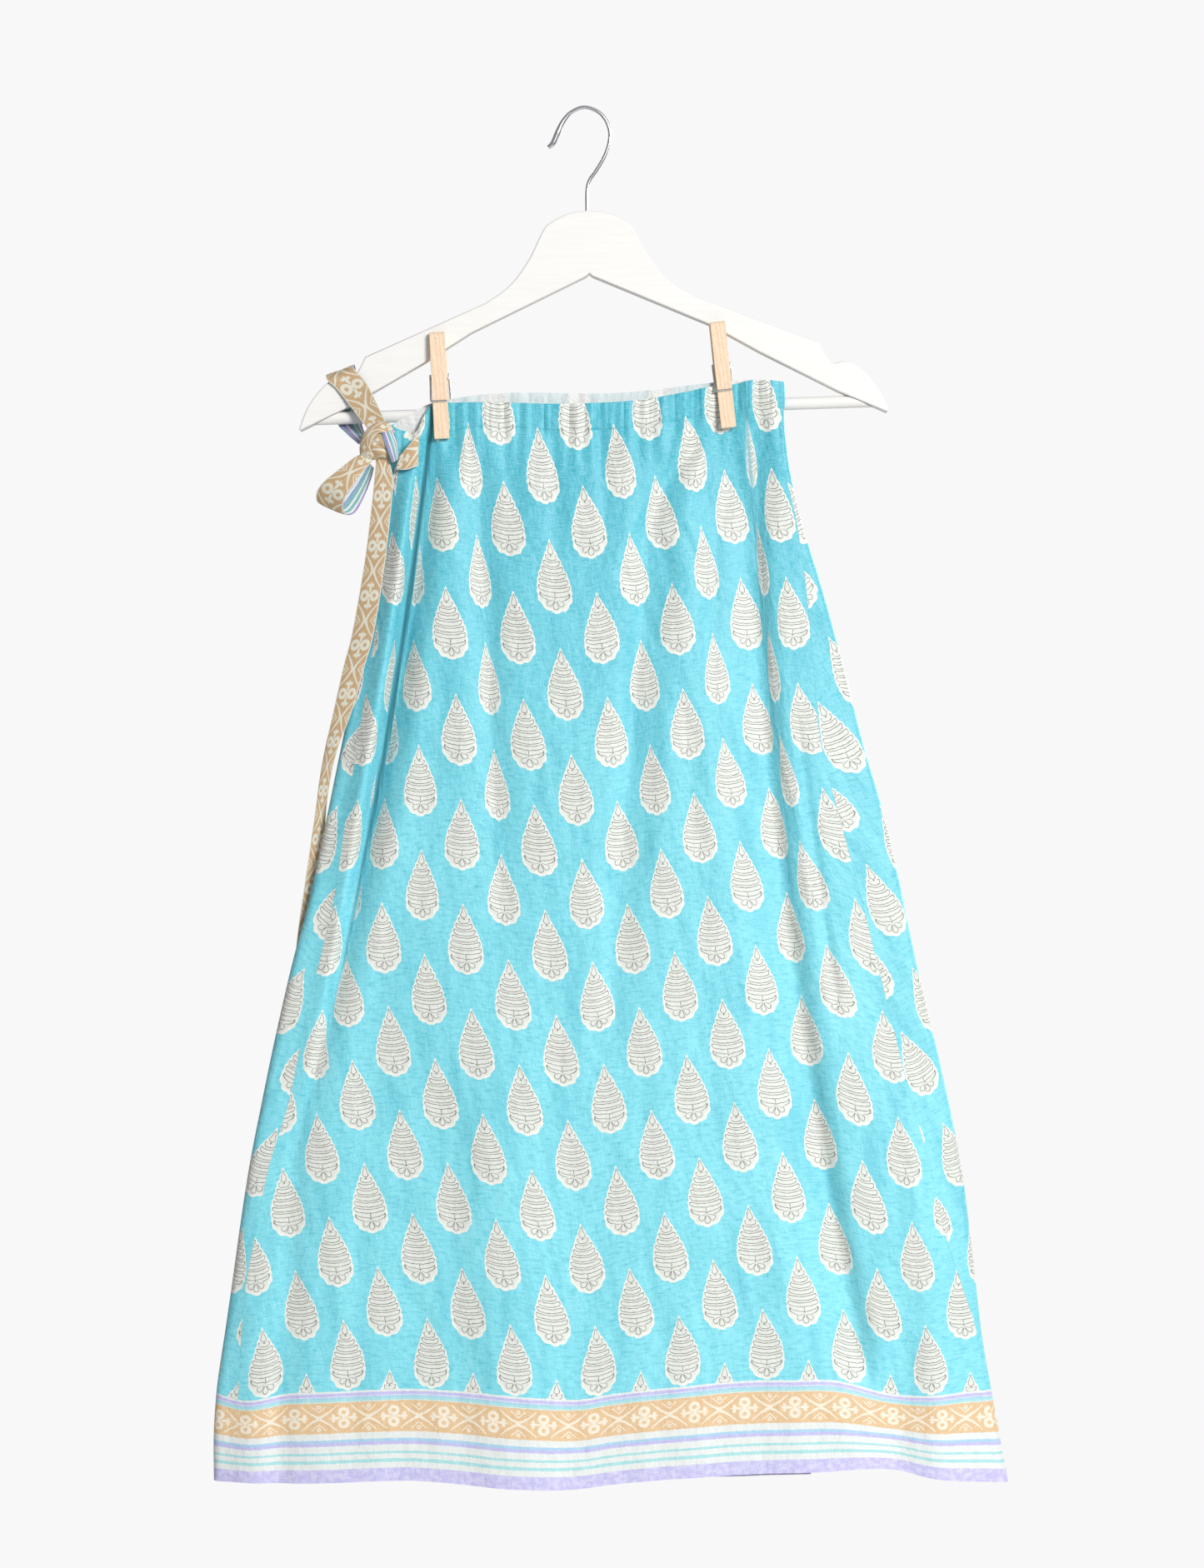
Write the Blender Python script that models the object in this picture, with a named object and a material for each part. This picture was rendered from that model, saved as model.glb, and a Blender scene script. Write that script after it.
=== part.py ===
"""Wrap skirt with a gathered elastic waistband, hung from a wooden clothes hanger by two pegs.

Metres, +Z up. The origin is the inner top of the hanger's hook, where a rail bears on it, and the
skirt faces -Y. Tables are in millimetres: across is +X, height is +Z and depth is +Y.
The skirt is one flattened tube of cloth. Round it, a place is a lap from 0 to 6: 0 to 1 is the left
edge's front quarter, 1 to 2 the front, 2 to 4 the right edge, 4 to 5 the back and 5 to 6 the left
edge's back quarter. Down it, a place is a drop: -1 is the rim, 0 the waist seam and 1 the hem.
"""

import math
from collections import namedtuple

import bmesh
import bpy
import numpy as np

MM = 0.001

# Cloth
CLOTH_WALL = 1.2
SEAM_GAP = 0.3
WAIST_GAP = 0.6
SKIRT_LENGTH = 765.0
BACK_TUCKS = 0.3
BAND_OUT = 0.3
BAND_PUFF = 0.8
BAND_WALL = 1.2
TIE_WALL = 1.2
WAIST_LEVEL = -230
BAND_LEVEL = -220
HEM_LEVEL = -1000
MIDDLE_LEVEL = -600.0
ARCH_POWER = 2.2
EDGE_PLAY = 2.0
EDGE_CALM = 16.0
PUFF_POWER = 0.7

# How finely the cloth is divided
FRONT_COLUMNS = 44
BACK_COLUMNS = 22
ROWS = 18
ROWS_EVEN = 0.55
HEIGHT_ROUNDS = 5
NORMAL_STEP = 0.004
CLOTH_SHARP = math.radians(50)
WOOD_SHARP = math.radians(40)
BAND_SPLIT = 2
BACK_BAND_COLUMNS = 60
BAND_ROWS = 3
EDGE_TURN = (1 / 3, 2 / 3)
STRIP_LEAST = 0.02
STRIP_ON_EDGE = (0.9, 0.8)

# The wrap's inner layer covers this many of the front's columns, from its second one on
UNDERLAP_FIRST = 2
UNDERLAP_LAST = 33
UNDERLAP_GAP_TOP = 0.4
UNDERLAP_GAP_HEM = 7.0
UNDERLAP_GAP_LENGTH = 0.7
UNDERLAP_PEEK = 2.6
UNDERLAP_PEEK_FROM = 60.0
UNDERLAP_PEEK_OVER = 60.0

# Outline, side seams and depth of the skirt at each height
Level = namedtuple("Level", "height left left_seam right_seam right middle front back edge")
LEVELS = (
    Level(-1010, -270, -255, 308, 311, 0.0, 32.0, 13.5, 6.0),
    Level(-961, -270, -253, 299, 302, 0.0, 31.5, 13.0, 6.0),
    Level(-934, -268, -251, 293, 297, -0.5, 31.0, 13.0, 6.0),
    Level(-893, -262, -249, 286, 290, -1.0, 30.0, 12.5, 6.0),
    Level(-859, -257, -246, 275, 286, -1.5, 29.5, 12.0, 6.0),
    Level(-816, -251, -238, 261, 281, -2.0, 28.5, 11.5, 6.0),
    Level(-771, -244, -229, 251, 275, -2.5, 27.5, 11.0, 6.0),
    Level(-725, -235, -215, 238, 266, -3.0, 26.5, 10.5, 6.0),
    Level(-668, -223, -203, 224, 253, -4.0, 25.0, 10.0, 6.0),
    Level(-617, -211, -191, 211, 241, -4.5, 23.5, 9.5, 5.8),
    Level(-584, -202, -183, 203, 234, -5.0, 22.5, 9.0, 5.6),
    Level(-520, -188, -173, 186, 220, -6.0, 20.5, 8.5, 5.3),
    Level(-462, -176, -164, 172, 203, -7.0, 18.5, 8.0, 5.0),
    Level(-407, -164, -155, 167, 189, -7.5, 16.5, 7.0, 4.8),
    Level(-346, -152, -146, 161, 172, -8.0, 14.0, 6.0, 4.5),
    Level(-300, -146, -139, 154, 158, -8.2, 11.5, 5.0, 4.2),
    Level(-260, -142, -134, 145, 149, -8.4, 7.5, 4.0, 3.8),
    Level(-235, -140, -131, 142, 146, -8.5, 4.2, 2.9, 3.0),
    Level(-195, -139, -130, 141, 145, -8.5, 3.4, 2.9, 2.9),
)

# Upper edge of the waistband, the seam under it and the hem, each in front and behind
Edge = namedtuple("Edge", "across height")
FRONT_RIM = (
    Edge(-141, -232), Edge(-130, -236), Edge(-121, -235), Edge(-116, -224), Edge(-111, -216.5),
    Edge(-95, -215.5), Edge(-1, -216), Edge(44, -213), Edge(72, -208), Edge(96, -203),
    Edge(108, -202), Edge(122, -199), Edge(145, -200),
)
BACK_RIM = (
    Edge(-141, -232), Edge(-128, -224), Edge(-113, -216), Edge(-95, -212), Edge(36, -207),
    Edge(97, -200), Edge(120, -198), Edge(145, -200),
)
FRONT_SEAM = (
    Edge(-141, -252), Edge(-127, -248), Edge(-110, -239), Edge(-95, -235.5), Edge(-1, -235.2),
    Edge(44, -232.2), Edge(72, -227.3), Edge(96, -222.2), Edge(108, -221.2), Edge(122, -218.6),
    Edge(145, -219.4),
)
BACK_SEAM = (
    Edge(-141, -252), Edge(-118, -240), Edge(-90, -232.5), Edge(36, -226.4), Edge(97, -220),
    Edge(145, -219.4),
)
FRONT_HEM = (
    Edge(-270, -1000), Edge(-213, -1000), Edge(-122, -996.5), Edge(-49, -1001), Edge(-1, -1001),
    Edge(18, -998.5), Edge(102, -992), Edge(166, -990), Edge(226, -990), Edge(252, -996),
    Edge(278, -999), Edge(310, -1001),
)
BACK_HEM = (
    Edge(-270, -1000), Edge(-150, -994), Edge(20, -991), Edge(180, -986), Edge(310, -1001),
)

# Folds: the line each follows down the cloth, its depth (into the skirt, or out where it is below 0),
# how far it spreads to the left and right of its line, and the lengths over which it fades
Fold = namedtuple(
    "Fold", "top_x top_z middle_x middle_z end_x end_z depth left right fade_in fade_out"
)
FRONT_FOLDS = (
    Fold(-108, -232, -131, -381, -176, -590, 5.0, 6, 17, 60, 170),
    Fold(-124, -232, -145, -381, -190, -600, -6.0, 11, 8, 60, 190),
    Fold(-81, -236, -69, -416, -60, -510, 3.4, 10, 14, 50, 120),
    Fold(-95, -250, -92, -400, -88, -560, -2.4, 12, 12, 70, 180),
    Fold(36, -290, 44, -413, 57, -585, 3.2, 9, 12, 70, 150),
    Fold(90, -250, 93, -350, 95, -440, 3.2, 9, 10, 60, 90),
    Fold(72, -400, 74, -470, 79, -560, 2.6, 8, 10, 60, 90),
    Fold(118, -222, 138, -440, 166, -720, 4.2, 12, 15, 60, 160),
    Fold(160, -660, 182, -830, 212, -985, 5.0, 14, 17, 130, 60),
    Fold(98, -236, 66, -262, 30, -312, 1.5, 7, 6, 14, 36),
    Fold(100, -238, 84, -275, 66, -330, 1.3, 5, 6, 14, 40),
    Fold(-128, -560, -124, -800, -122, -1010, 5.5, 24, 30, 250, 1),
    Fold(-70, -600, -58, -800, -49, -1010, -4.0, 26, 26, 250, 1),
    Fold(4, -640, 14, -820, 22, -1010, 5.5, 22, 26, 220, 1),
    Fold(92, -610, 100, -800, 108, -1010, 5.0, 22, 26, 230, 1),
    Fold(232, -820, 228, -920, 226, -1010, 6.0, 16, 14, 120, 1),
    Fold(222, -640, 246, -820, 262, -1010, -3.5, 14, 12, 160, 1),
    Fold(-238, -740, -240, -880, -242, -1010, -3.0, 12, 14, 160, 1),
)
BACK_FOLDS = (
    Fold(-84, -260, -122, -560, -160, -1010, 4.6, 22, 30, 200, 1),
    Fold(-20, -240, -30, -560, -44, -1010, 5.4, 18, 24, 160, 1),
    Fold(30, -240, 48, -560, 62, -1010, -3.0, 24, 24, 240, 1),
    Fold(70, -240, 112, -560, 146, -1010, 5.0, 20, 26, 190, 1),
    Fold(112, -260, 176, -560, 236, -1010, 4.0, 18, 20, 220, 1),
)

# Tucks of the elastic: waves a hand's gathers apart, that die out below the waist seam
Tuck = namedtuple("Tuck", "spacing drift offset depth")
TUCKS = (Tuck(13.5, 3.1, 0.4, 0.42), Tuck(21.0, 5.0, 1.9, 0.34), Tuck(9.2, 2.4, 2.6, 0.22))
TUCK_FADE = 62.0
TUCK_WANDER = 41.0

# Where each peg bites: its upper and lower ends
Peg = namedtuple("Peg", "side top_x top_z bottom_x bottom_z")
PEGS = (Peg("left", -107, -164, -103, -242), Peg("right", 97, -157, 105, -234))
PINCH_DEPTH = 1.6
PINCH_WIDTH = 13.0
PINCH_FADE = 30.0
PINCH_SHARE = 0.2

# Pegs: leg profiles as depth and height above the jaw's tip
PEG_WIDTH = 11.0
Profile = namedtuple("Profile", "depth height")
PEG_FRONT_LEG = (
    Profile(-12.4, 0.0), Profile(-16.2, 0.0), Profile(-16.8, 3.0), Profile(-12.0, 76.6),
    Profile(-10.6, 78.0), Profile(-7.4, 78.0), Profile(-7.2, 60.0), Profile(-7.2, 42.0),
    Profile(-12.4, 27.0),
)
PEG_BACK_LEG = (
    Profile(4.9, 0.0), Profile(4.9, 26.0), Profile(3.3, 42.0), Profile(3.3, 55.0),
    Profile(6.7, 62.0), Profile(6.9, 78.0), Profile(9.9, 78.0), Profile(11.0, 76.6),
    Profile(10.0, 3.0), Profile(9.4, 0.0),
)
SPRING_WIRE = 0.7
SPRING_COIL = 4.2
SPRING_TURNS = 3.5
SPRING_DEPTH = -1.95
SPRING_HEIGHT = 48.6
SPRING_REACH = 6.6
SPRING_ARM_HEIGHT = 27.4
SPRING_FRONT = -16.2
SPRING_BACK = 11.6
SPRING_BEND = 1.2
SPRING_FRONT_ARM = (-8.5, -9.0)
SPRING_BACK_ARM = (5.0, -7.0)
SPRING_STEPS = 9
SPRING_START = math.radians(200)
PEG_ROUND = 0.4

# Tie: each row gives both edges of the strap, upper or outer edge first
TIE_CROWN = 0.5
TAIL_CROWN = 0.3
STRAP_SHARES = (0.0, 0.33, 0.67, 1.0)
Strap = namedtuple("Strap", "ax ay az bx by bz")
TIE_LOOP = (
    Strap(-157.5, -17.0, -234.4, -142.5, -16.5, -232.7),
    Strap(-170.5, -10.0, -217.0, -155.0, -10.0, -206.5),
    Strap(-180.0, -8.0, -205.0, -161.5, -8.0, -196.5),
    Strap(-187.0, -7.6, -198.5, -167.0, -7.6, -190.5),
    Strap(-188.0, 0.0, -194.0, -167.5, 0.0, -186.5),
    Strap(-187.0, 7.6, -199.0, -167.0, 7.6, -190.5),
    Strap(-184.5, 8.0, -213.0, -165.0, 8.0, -209.0),
    Strap(-180.5, 6.8, -228.5, -162.5, 6.8, -229.0),
    Strap(-174.0, -1.0, -236.0, -160.0, -1.0, -236.0),
    Strap(-163.5, -13.0, -246.0, -158.8, -13.0, -238.2),
)
TIE_BOW_LEFT = (
    Strap(-159.8, -17.9, -252.5, -153.1, -18.9, -258.3),
    Strap(-167.6, -20.4, -257.0, -158.6, -22.4, -265.5),
    Strap(-177.6, -21.9, -265.0, -165.1, -23.9, -274.5),
    Strap(-187.6, -20.9, -273.0, -171.6, -22.9, -283.5),
    Strap(-193.6, -16.4, -280.5, -174.6, -18.4, -290.5),
    Strap(-193.1, -10.9, -288.0, -173.6, -11.9, -296.5),
    Strap(-183.6, -8.9, -286.5, -166.6, -7.9, -295.0),
    Strap(-171.6, -8.9, -273.5, -159.6, -6.9, -282.5),
    Strap(-162.6, -10.4, -262.0, -154.6, -8.9, -270.0),
    Strap(-158.6, -12.4, -257.0, -152.6, -11.4, -263.0),
)
TIE_BOW_RIGHT = (
    Strap(-133.2, -21.5, -255.0, -135.8, -21.5, -264.8),
    Strap(-126.8, -22.6, -247.5, -127.8, -22.6, -265.0),
    Strap(-120.8, -21.6, -240.5, -121.3, -21.6, -262.5),
    Strap(-119.4, -19.8, -239.5, -120.0, -19.8, -261.5),
    Strap(-121.3, -18.0, -241.0, -121.8, -18.0, -261.5),
    Strap(-127.8, -17.4, -248.0, -128.8, -17.4, -262.5),
    Strap(-133.8, -17.6, -254.5, -134.8, -17.6, -263.5),
)
TIE_KNOT_WRAP = (
    Strap(-147.5, -21.4, -234.6, -140.5, -19.8, -233.0),
    Strap(-145.5, -24.8, -242.0, -137.5, -22.6, -238.5),
    Strap(-143.0, -25.0, -249.0, -135.0, -22.6, -245.5),
    Strap(-140.5, -23.6, -255.5, -134.4, -21.4, -251.5),
    Strap(-139.0, -20.8, -260.0, -134.0, -19.6, -256.6),
)
TIE_TAIL = (
    Strap(-151.0, -17.0, -259.0, -140.5, -17.0, -259.4),
    Strap(-152.0, -16.5, -271.0, -138.5, -16.8, -271.0),
    Strap(-154.0, -15.5, -290.0, -139.5, -16.6, -290.0),
    Strap(-159.0, -14.5, -330.0, -144.0, -17.0, -330.0),
    Strap(-168.0, -14.0, -382.0, -152.0, -17.6, -382.0),
    Strap(-174.5, -13.5, -407.0, -159.0, -16.4, -407.0),
    Strap(-182.0, -12.0, -440.0, -168.5, -14.4, -440.0),
    Strap(-188.0, -10.0, -466.0, -178.5, -12.4, -466.0),
    Strap(-192.5, -7.5, -490.0, -184.6, -8.0, -490.0),
    Strap(-196.0, -4.0, -515.0, -188.4, -0.6, -515.0),
    Strap(-201.5, -0.5, -550.0, -189.5, 2.6, -550.0),
    Strap(-207.5, 1.2, -590.0, -193.0, 3.6, -590.0),
    Strap(-211.0, 2.4, -620.0, -197.0, 4.2, -620.0),
    Strap(-212.0, 3.8, -640.0, -199.0, 4.6, -640.0),
)
KNOT_CENTRE = (-149.0, -17.0, -246.0)
KNOT_RADII = (11.5, 7.0, 12.0)
KNOT_SIDES = 20
KNOT_RINGS = 12
KNOT_ROLLS = 3
KNOT_ROLL_DEPTH = 0.09
KNOT_SLANT = (0.6, 0.8)

# Hanger: the right half of its outline from the dome's top, and the same mirrored
HANGER_TOP = (2.2, -75.0)
HANGER_TILT = math.radians(1.85)
HANGER_THICK = 12.0
HANGER_ROUND = 2.0
HANGER_SHOULDER = (
    Edge(0, 0), Edge(13, -1.4), Edge(26.5, -7.5), Edge(33, -14), Edge(43.5, -34), Edge(58, -52.5),
    Edge(76, -64.8),
)
HANGER_END = (
    Edge(165, -101.2), Edge(169.4, -109.5), Edge(175, -116.6), Edge(182.5, -115.4),
    Edge(190, -117.2), Edge(199, -124.6), Edge(208.5, -137.4), Edge(215, -152.6),
)
HANGER_UNDERSIDE = (Edge(213.5, -153.4), Edge(178, -137), Edge(122.4, -107), Edge(87, -86))
HANGER_APEX = (Edge(2.0, -47.6), Edge(0, -45.4))
BAR_RADIUS = 4.5
BAR_HEIGHT = -144.7
BAR_SIDES = 16
BAR_GAP = 0.84

# Hook: the route of its wire from the ball tip to the wood
WIRE_RADIUS = 1.3
HOOK_BALL = (1.2, 1.5, 1.6, 1.3, 1.05)
HOOK_ROUTE = (
    Edge(-25.9, -27.9), Edge(-22.5, -24.6), Edge(-19.3, -17.3), Edge(-15.5, -9.3), Edge(-9.6, -2.5),
    Edge(-0.2, WIRE_RADIUS), Edge(9.2, -1.4), Edge(15.4, -7.3), Edge(18.7, -16.0), Edge(18.2, -25.0),
    Edge(15.0, -34.2), Edge(9.2, -44.4), Edge(4.0, -52.0), Edge(2.2, -60.0), Edge(2.2, -74.6),
)

Look = namedtuple("Look", "red green blue roughness metallic")
LOOKS = {
    "turquoise_print": Look(0.10, 0.60, 0.71, 0.55, 0.0),
    "strap_print": Look(0.59, 0.39, 0.22, 0.6, 0.0),
    "painted_wood": Look(0.90, 0.90, 0.88, 0.35, 0.0),
    "birch": Look(0.85, 0.60, 0.37, 0.6, 0.0),
    "chrome": Look(0.80, 0.80, 0.82, 0.12, 1.0),
}


def clear_scene():
    for thing in list(bpy.data.objects):
        bpy.data.objects.remove(thing, do_unlink=True)


def look(name):
    """The material of that name, made once."""
    if name in bpy.data.materials:
        return bpy.data.materials[name]
    values = LOOKS[name]
    material = bpy.data.materials.new(name)
    material.use_nodes = True
    shader = material.node_tree.nodes["Principled BSDF"]
    shader.inputs["Base Color"].default_value = (values.red, values.green, values.blue, 1.0)
    shader.inputs["Roughness"].default_value = values.roughness
    shader.inputs["Metallic"].default_value = values.metallic
    return material


def smooth_curve(at, knots, values):
    """Values at these places on a smooth curve through the knots, which rise."""
    knots = np.asarray(knots, float)
    values = np.asarray(values, float)
    slopes = np.gradient(values, knots)
    at = np.clip(at, knots[0], knots[-1])
    first = np.clip(np.searchsorted(knots, at, side="right") - 1, 0, len(knots) - 2)
    step = knots[first + 1] - knots[first]
    t = (at - knots[first]) / step
    return (
        values[first] * (1 + 2 * t) * (1 - t) ** 2
        + values[first + 1] * t * t * (3 - 2 * t)
        + slopes[first] * step * t * (1 - t) ** 2
        - slopes[first + 1] * step * t * t * (1 - t)
    )


def level(height, column):
    """A column of LEVELS at this height."""
    return smooth_curve(height, [r.height for r in LEVELS], [getattr(r, column) for r in LEVELS])


def edge_height(across, table):
    """The height of an edge such as a rim or hem above or below this place across."""
    return smooth_curve(across, [r.across for r in table], [r.height for r in table])


def ease(value):
    """0 below 0, 1 above 1 and a smooth step between."""
    value = np.clip(value, 0, 1)
    return value * value * (3 - 2 * value)


def fold_depth(x, z, folds):
    """How far these folds move the cloth into the skirt at a place."""
    total = np.zeros_like(x)
    for f in folds:
        a, b, c = f.top_z, f.middle_z, f.end_z
        line = (
            f.top_x * (z - b) * (z - c) / ((a - b) * (a - c))
            + f.middle_x * (z - a) * (z - c) / ((b - a) * (b - c))
            + f.end_x * (z - a) * (z - b) / ((c - a) * (c - b))
        )
        away = (x - line) / np.where(x < line, f.left, f.right)
        strength = ease((a - z) / f.fade_in) * ease((z - c) / f.fade_out)
        total += f.depth * strength * np.exp(-away * away)
    return total


def tuck_depth(x, z, seam):
    """The elastic's small tucks, strongest on the band."""
    wave = np.zeros_like(x)
    for t in TUCKS:
        wave += t.depth * np.sin(2 * np.pi * x / t.spacing + t.drift * np.sin(x / TUCK_WANDER + t.offset))
    return wave * (1 - ease((seam - z) / TUCK_FADE))


def pinch_depth(x, z):
    """How far the pegs press the front back onto the bar."""
    total = np.zeros_like(x)
    for peg in PEGS:
        middle = peg.bottom_x + (peg.top_x - peg.bottom_x) * PINCH_SHARE
        across = np.exp(-(((x - middle) / PINCH_WIDTH) ** 4))
        total += across * (1 - ease((peg.bottom_z - z) / PINCH_FADE))
    return PINCH_DEPTH * total


def skirt_surface(lap, drop):
    """Places in millimetres on the outer face of the skirt's tube."""
    lap = np.mod(np.asarray(lap, float), 6.0)
    drop = np.asarray(drop, float)
    front = lap < 3
    fold_back = np.where(front, lap, 6 - lap)
    quarter = np.where(fold_back < 1, fold_back, np.where(fold_back > 2, 3 - fold_back, 1.0))
    angle = quarter * np.pi / 2
    share = np.clip(fold_back - 1, 0, 1)
    height = np.full_like(lap, MIDDLE_LEVEL)
    for _ in range(HEIGHT_ROUNDS):
        left = level(height, "left")
        right = level(height, "right")
        edge = level(height, "edge")
        inset = edge * (1 - np.cos(angle))
        x = np.where(
            fold_back < 1,
            left + inset,
            np.where(
                fold_back > 2,
                right - inset,
                left + edge + (right - left - 2 * edge) * share,
            ),
        )
        rim = np.where(front, edge_height(x, FRONT_RIM), edge_height(x, BACK_RIM))
        seam = np.where(front, edge_height(x, FRONT_SEAM), edge_height(x, BACK_SEAM))
        hem = np.where(front, edge_height(x, FRONT_HEM), edge_height(x, BACK_HEM))
        height = np.where(drop < 0, seam - (rim - seam) * drop, seam + (hem - seam) * drop)
    cap = np.sin(angle)
    across = (x - left) / (right - left)
    arch = 1 - np.abs(2 * across - 1) ** ARCH_POWER
    bulge = np.where(front, level(height, "front"), level(height, "back"))
    out = edge * cap + (bulge - edge) * arch
    room = cap * ease((np.minimum(x - left, right - x) + EDGE_PLAY) / EDGE_CALM)
    into = np.where(
        front,
        fold_depth(x, height, FRONT_FOLDS) + pinch_depth(x, height),
        fold_depth(x, height, BACK_FOLDS),
    )
    tucks = tuck_depth(x, height, seam) * np.where(front, 1.0, BACK_TUCKS)
    out = out - into * room - tucks * cap
    y = level(height, "middle") + np.where(front, -out, out)
    return np.stack([x, y, height], axis=-1)


def skirt_normals(lap, drop):
    """Unit vectors that point out of the skirt."""
    step = NORMAL_STEP
    along = skirt_surface(lap + step, drop) - skirt_surface(lap - step, drop)
    down = skirt_surface(lap, drop + step) - skirt_surface(lap, drop - step)
    out = np.cross(down, along)
    return out / np.linalg.norm(out, axis=-1, keepdims=True)


def lap_at(x, height, column):
    """The lap on the front at this place across, at a height where it may lie on the rounded edge."""
    edge = level(height, "edge")
    left = level(height, "left")
    right = level(height, "right")
    if column == "left_seam":
        inset = x - left
        flat = 1 + (inset - edge) / (right - left - 2 * edge)
        curved = np.arccos(np.clip(1 - inset / edge, -1, 1)) / (np.pi / 2)
    else:
        inset = right - x
        flat = 2 - (inset - edge) / (right - left - 2 * edge)
        curved = 3 - np.arccos(np.clip(1 - inset / edge, -1, 1)) / (np.pi / 2)
    return np.where(inset < edge, curved, flat)


def seam_lap(drop, column, move):
    """The lap of a side seam at each drop, moved across by a few tenths of a millimetre."""
    seam = edge_height(level(WAIST_LEVEL, column), FRONT_SEAM)
    hem = edge_height(level(HEM_LEVEL, column), FRONT_HEM)
    height = seam + (hem - seam) * drop
    return lap_at(level(height, column) + move, height, column)


def drops():
    """Drops of the rows of cloth, from just under the waist seam, closer together near it."""
    share = np.linspace(0, 1, ROWS + 1)
    first = WAIST_GAP / SKIRT_LENGTH
    return first + (1 - first) * (ROWS_EVEN * share + (1 - ROWS_EVEN) * share * share)


def solid(name, outer, inner, material):
    """A closed wall between two grids of points in millimetres, as an object."""
    rows, columns = outer.shape[:2]
    mesh = bpy.data.meshes.new(name)
    build = bmesh.new()
    faces = []
    points = [
        [[build.verts.new(p * MM) for p in row] for row in grid] for grid in (outer, inner)
    ]
    near, far = points
    for r in range(rows - 1):
        for c in range(columns - 1):
            faces.append((near[r][c], near[r + 1][c], near[r + 1][c + 1], near[r][c + 1]))
            faces.append((far[r][c], far[r][c + 1], far[r + 1][c + 1], far[r + 1][c]))
    for c in range(columns - 1):
        faces.append((near[0][c], near[0][c + 1], far[0][c + 1], far[0][c]))
        faces.append((near[-1][c], far[-1][c], far[-1][c + 1], near[-1][c + 1]))
    for r in range(rows - 1):
        faces.append((near[r][0], far[r][0], far[r + 1][0], near[r + 1][0]))
        faces.append((near[r][-1], near[r + 1][-1], far[r + 1][-1], far[r][-1]))
    for face in faces:
        build.faces.new(face)
    bmesh.ops.recalc_face_normals(build, faces=build.faces)
    build.to_mesh(mesh)
    build.free()
    mesh.shade_smooth()
    mesh.set_sharp_from_angle(angle=CLOTH_SHARP)
    mesh.materials.append(look(material))
    thing = bpy.data.objects.new(name, mesh)
    bpy.context.scene.collection.objects.link(thing)
    return thing


def even_laps(first, last, drop, share):
    """Laps at these shares of the cloth between two laps of each row of the front."""
    height = FRONT_SEAM[0].height + (FRONT_HEM[0].height - FRONT_SEAM[0].height) * drop
    edge = level(height, "edge")
    turn = edge * math.pi / 2
    flat = level(height, "right") - level(height, "left") - 2 * edge
    rows = []
    for ends, bend, width in zip(zip(first, last), turn, flat):
        cloth = (0, bend, bend + width, 2 * bend + width)
        start, stop = np.interp(ends, range(4), cloth)
        rows.append(np.interp(start + (stop - start) * share, cloth, range(4)))
    return np.array(rows)


def front_grid():
    """Laps and drops of the front panel, from seam to seam."""
    drop = drops()
    first = seam_lap(drop, "left_seam", SEAM_GAP / 2)
    last = seam_lap(drop, "right_seam", -SEAM_GAP / 2)
    lap = even_laps(first, last, drop, np.linspace(0, 1, FRONT_COLUMNS + 1))
    return lap, np.broadcast_to(drop[:, None], lap.shape)


def make_front():
    lap, drop = front_grid()
    outer = skirt_surface(lap, drop)
    inner = outer - skirt_normals(lap, drop) * CLOTH_WALL
    solid("skirt_front", outer, inner, "turquoise_print")


def make_underlap():
    """The wrap's inner layer, just behind the front, with its free edge to the right."""
    lap, drop = front_grid()
    chosen = slice(UNDERLAP_FIRST, UNDERLAP_LAST + 1)
    lap = lap[:, chosen]
    drop = drop[:, chosen]
    normals = skirt_normals(lap, drop)
    more = UNDERLAP_GAP_HEM - UNDERLAP_GAP_TOP
    gap = UNDERLAP_GAP_TOP + more * ease(drop / UNDERLAP_GAP_LENGTH)
    outer = skirt_surface(lap, drop) - normals * CLOTH_WALL
    outer[..., 1] += gap
    peek = ease((outer[..., 0] - UNDERLAP_PEEK_FROM) / UNDERLAP_PEEK_OVER) * UNDERLAP_PEEK
    outer[..., 2] -= peek * ease(drop)
    inner = outer - normals * CLOTH_WALL
    solid("skirt_underlap", outer, inner, "turquoise_print")


def strip_laps(seam):
    """Two laps from a left seam to the rounded edge, or along the edge where the seam is on it."""
    if seam > 1 + STRIP_LEAST:
        return [1 + (seam - 1) / 2, 1.0]
    return [seam * share for share in STRIP_ON_EDGE]


def back_laps(left, right):
    """Laps of one row of the back, from the left seam round the back to the right seam."""
    start = strip_laps(left)
    end = [3 - lap for lap in strip_laps(3 - right)][::-1]
    laps = [left, *start, *(start[-1] * (1 - t) for t in EDGE_TURN), 0.0]
    laps += [*(-t for t in EDGE_TURN), *np.linspace(-1, -2, BACK_COLUMNS + 1)]
    laps += [*(-2 - t for t in EDGE_TURN), -3.0]
    laps += [end[0] - 6 + (3 - end[0]) * (1 - t) for t in EDGE_TURN]
    return laps + [lap - 6 for lap in (*end, right)]


def make_back():
    """The back, which wraps round both edges to the side seams in front."""
    drop = drops()
    left = seam_lap(drop, "left_seam", -SEAM_GAP / 2)
    right = seam_lap(drop, "right_seam", SEAM_GAP / 2)
    lap = np.array([back_laps(*ends) for ends in zip(left, right)])
    drop = np.broadcast_to(drop[:, None], lap.shape)
    outer = skirt_surface(lap, drop)
    inner = outer - skirt_normals(lap, drop) * CLOTH_WALL
    solid("skirt_back", outer, inner, "turquoise_print")


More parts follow.
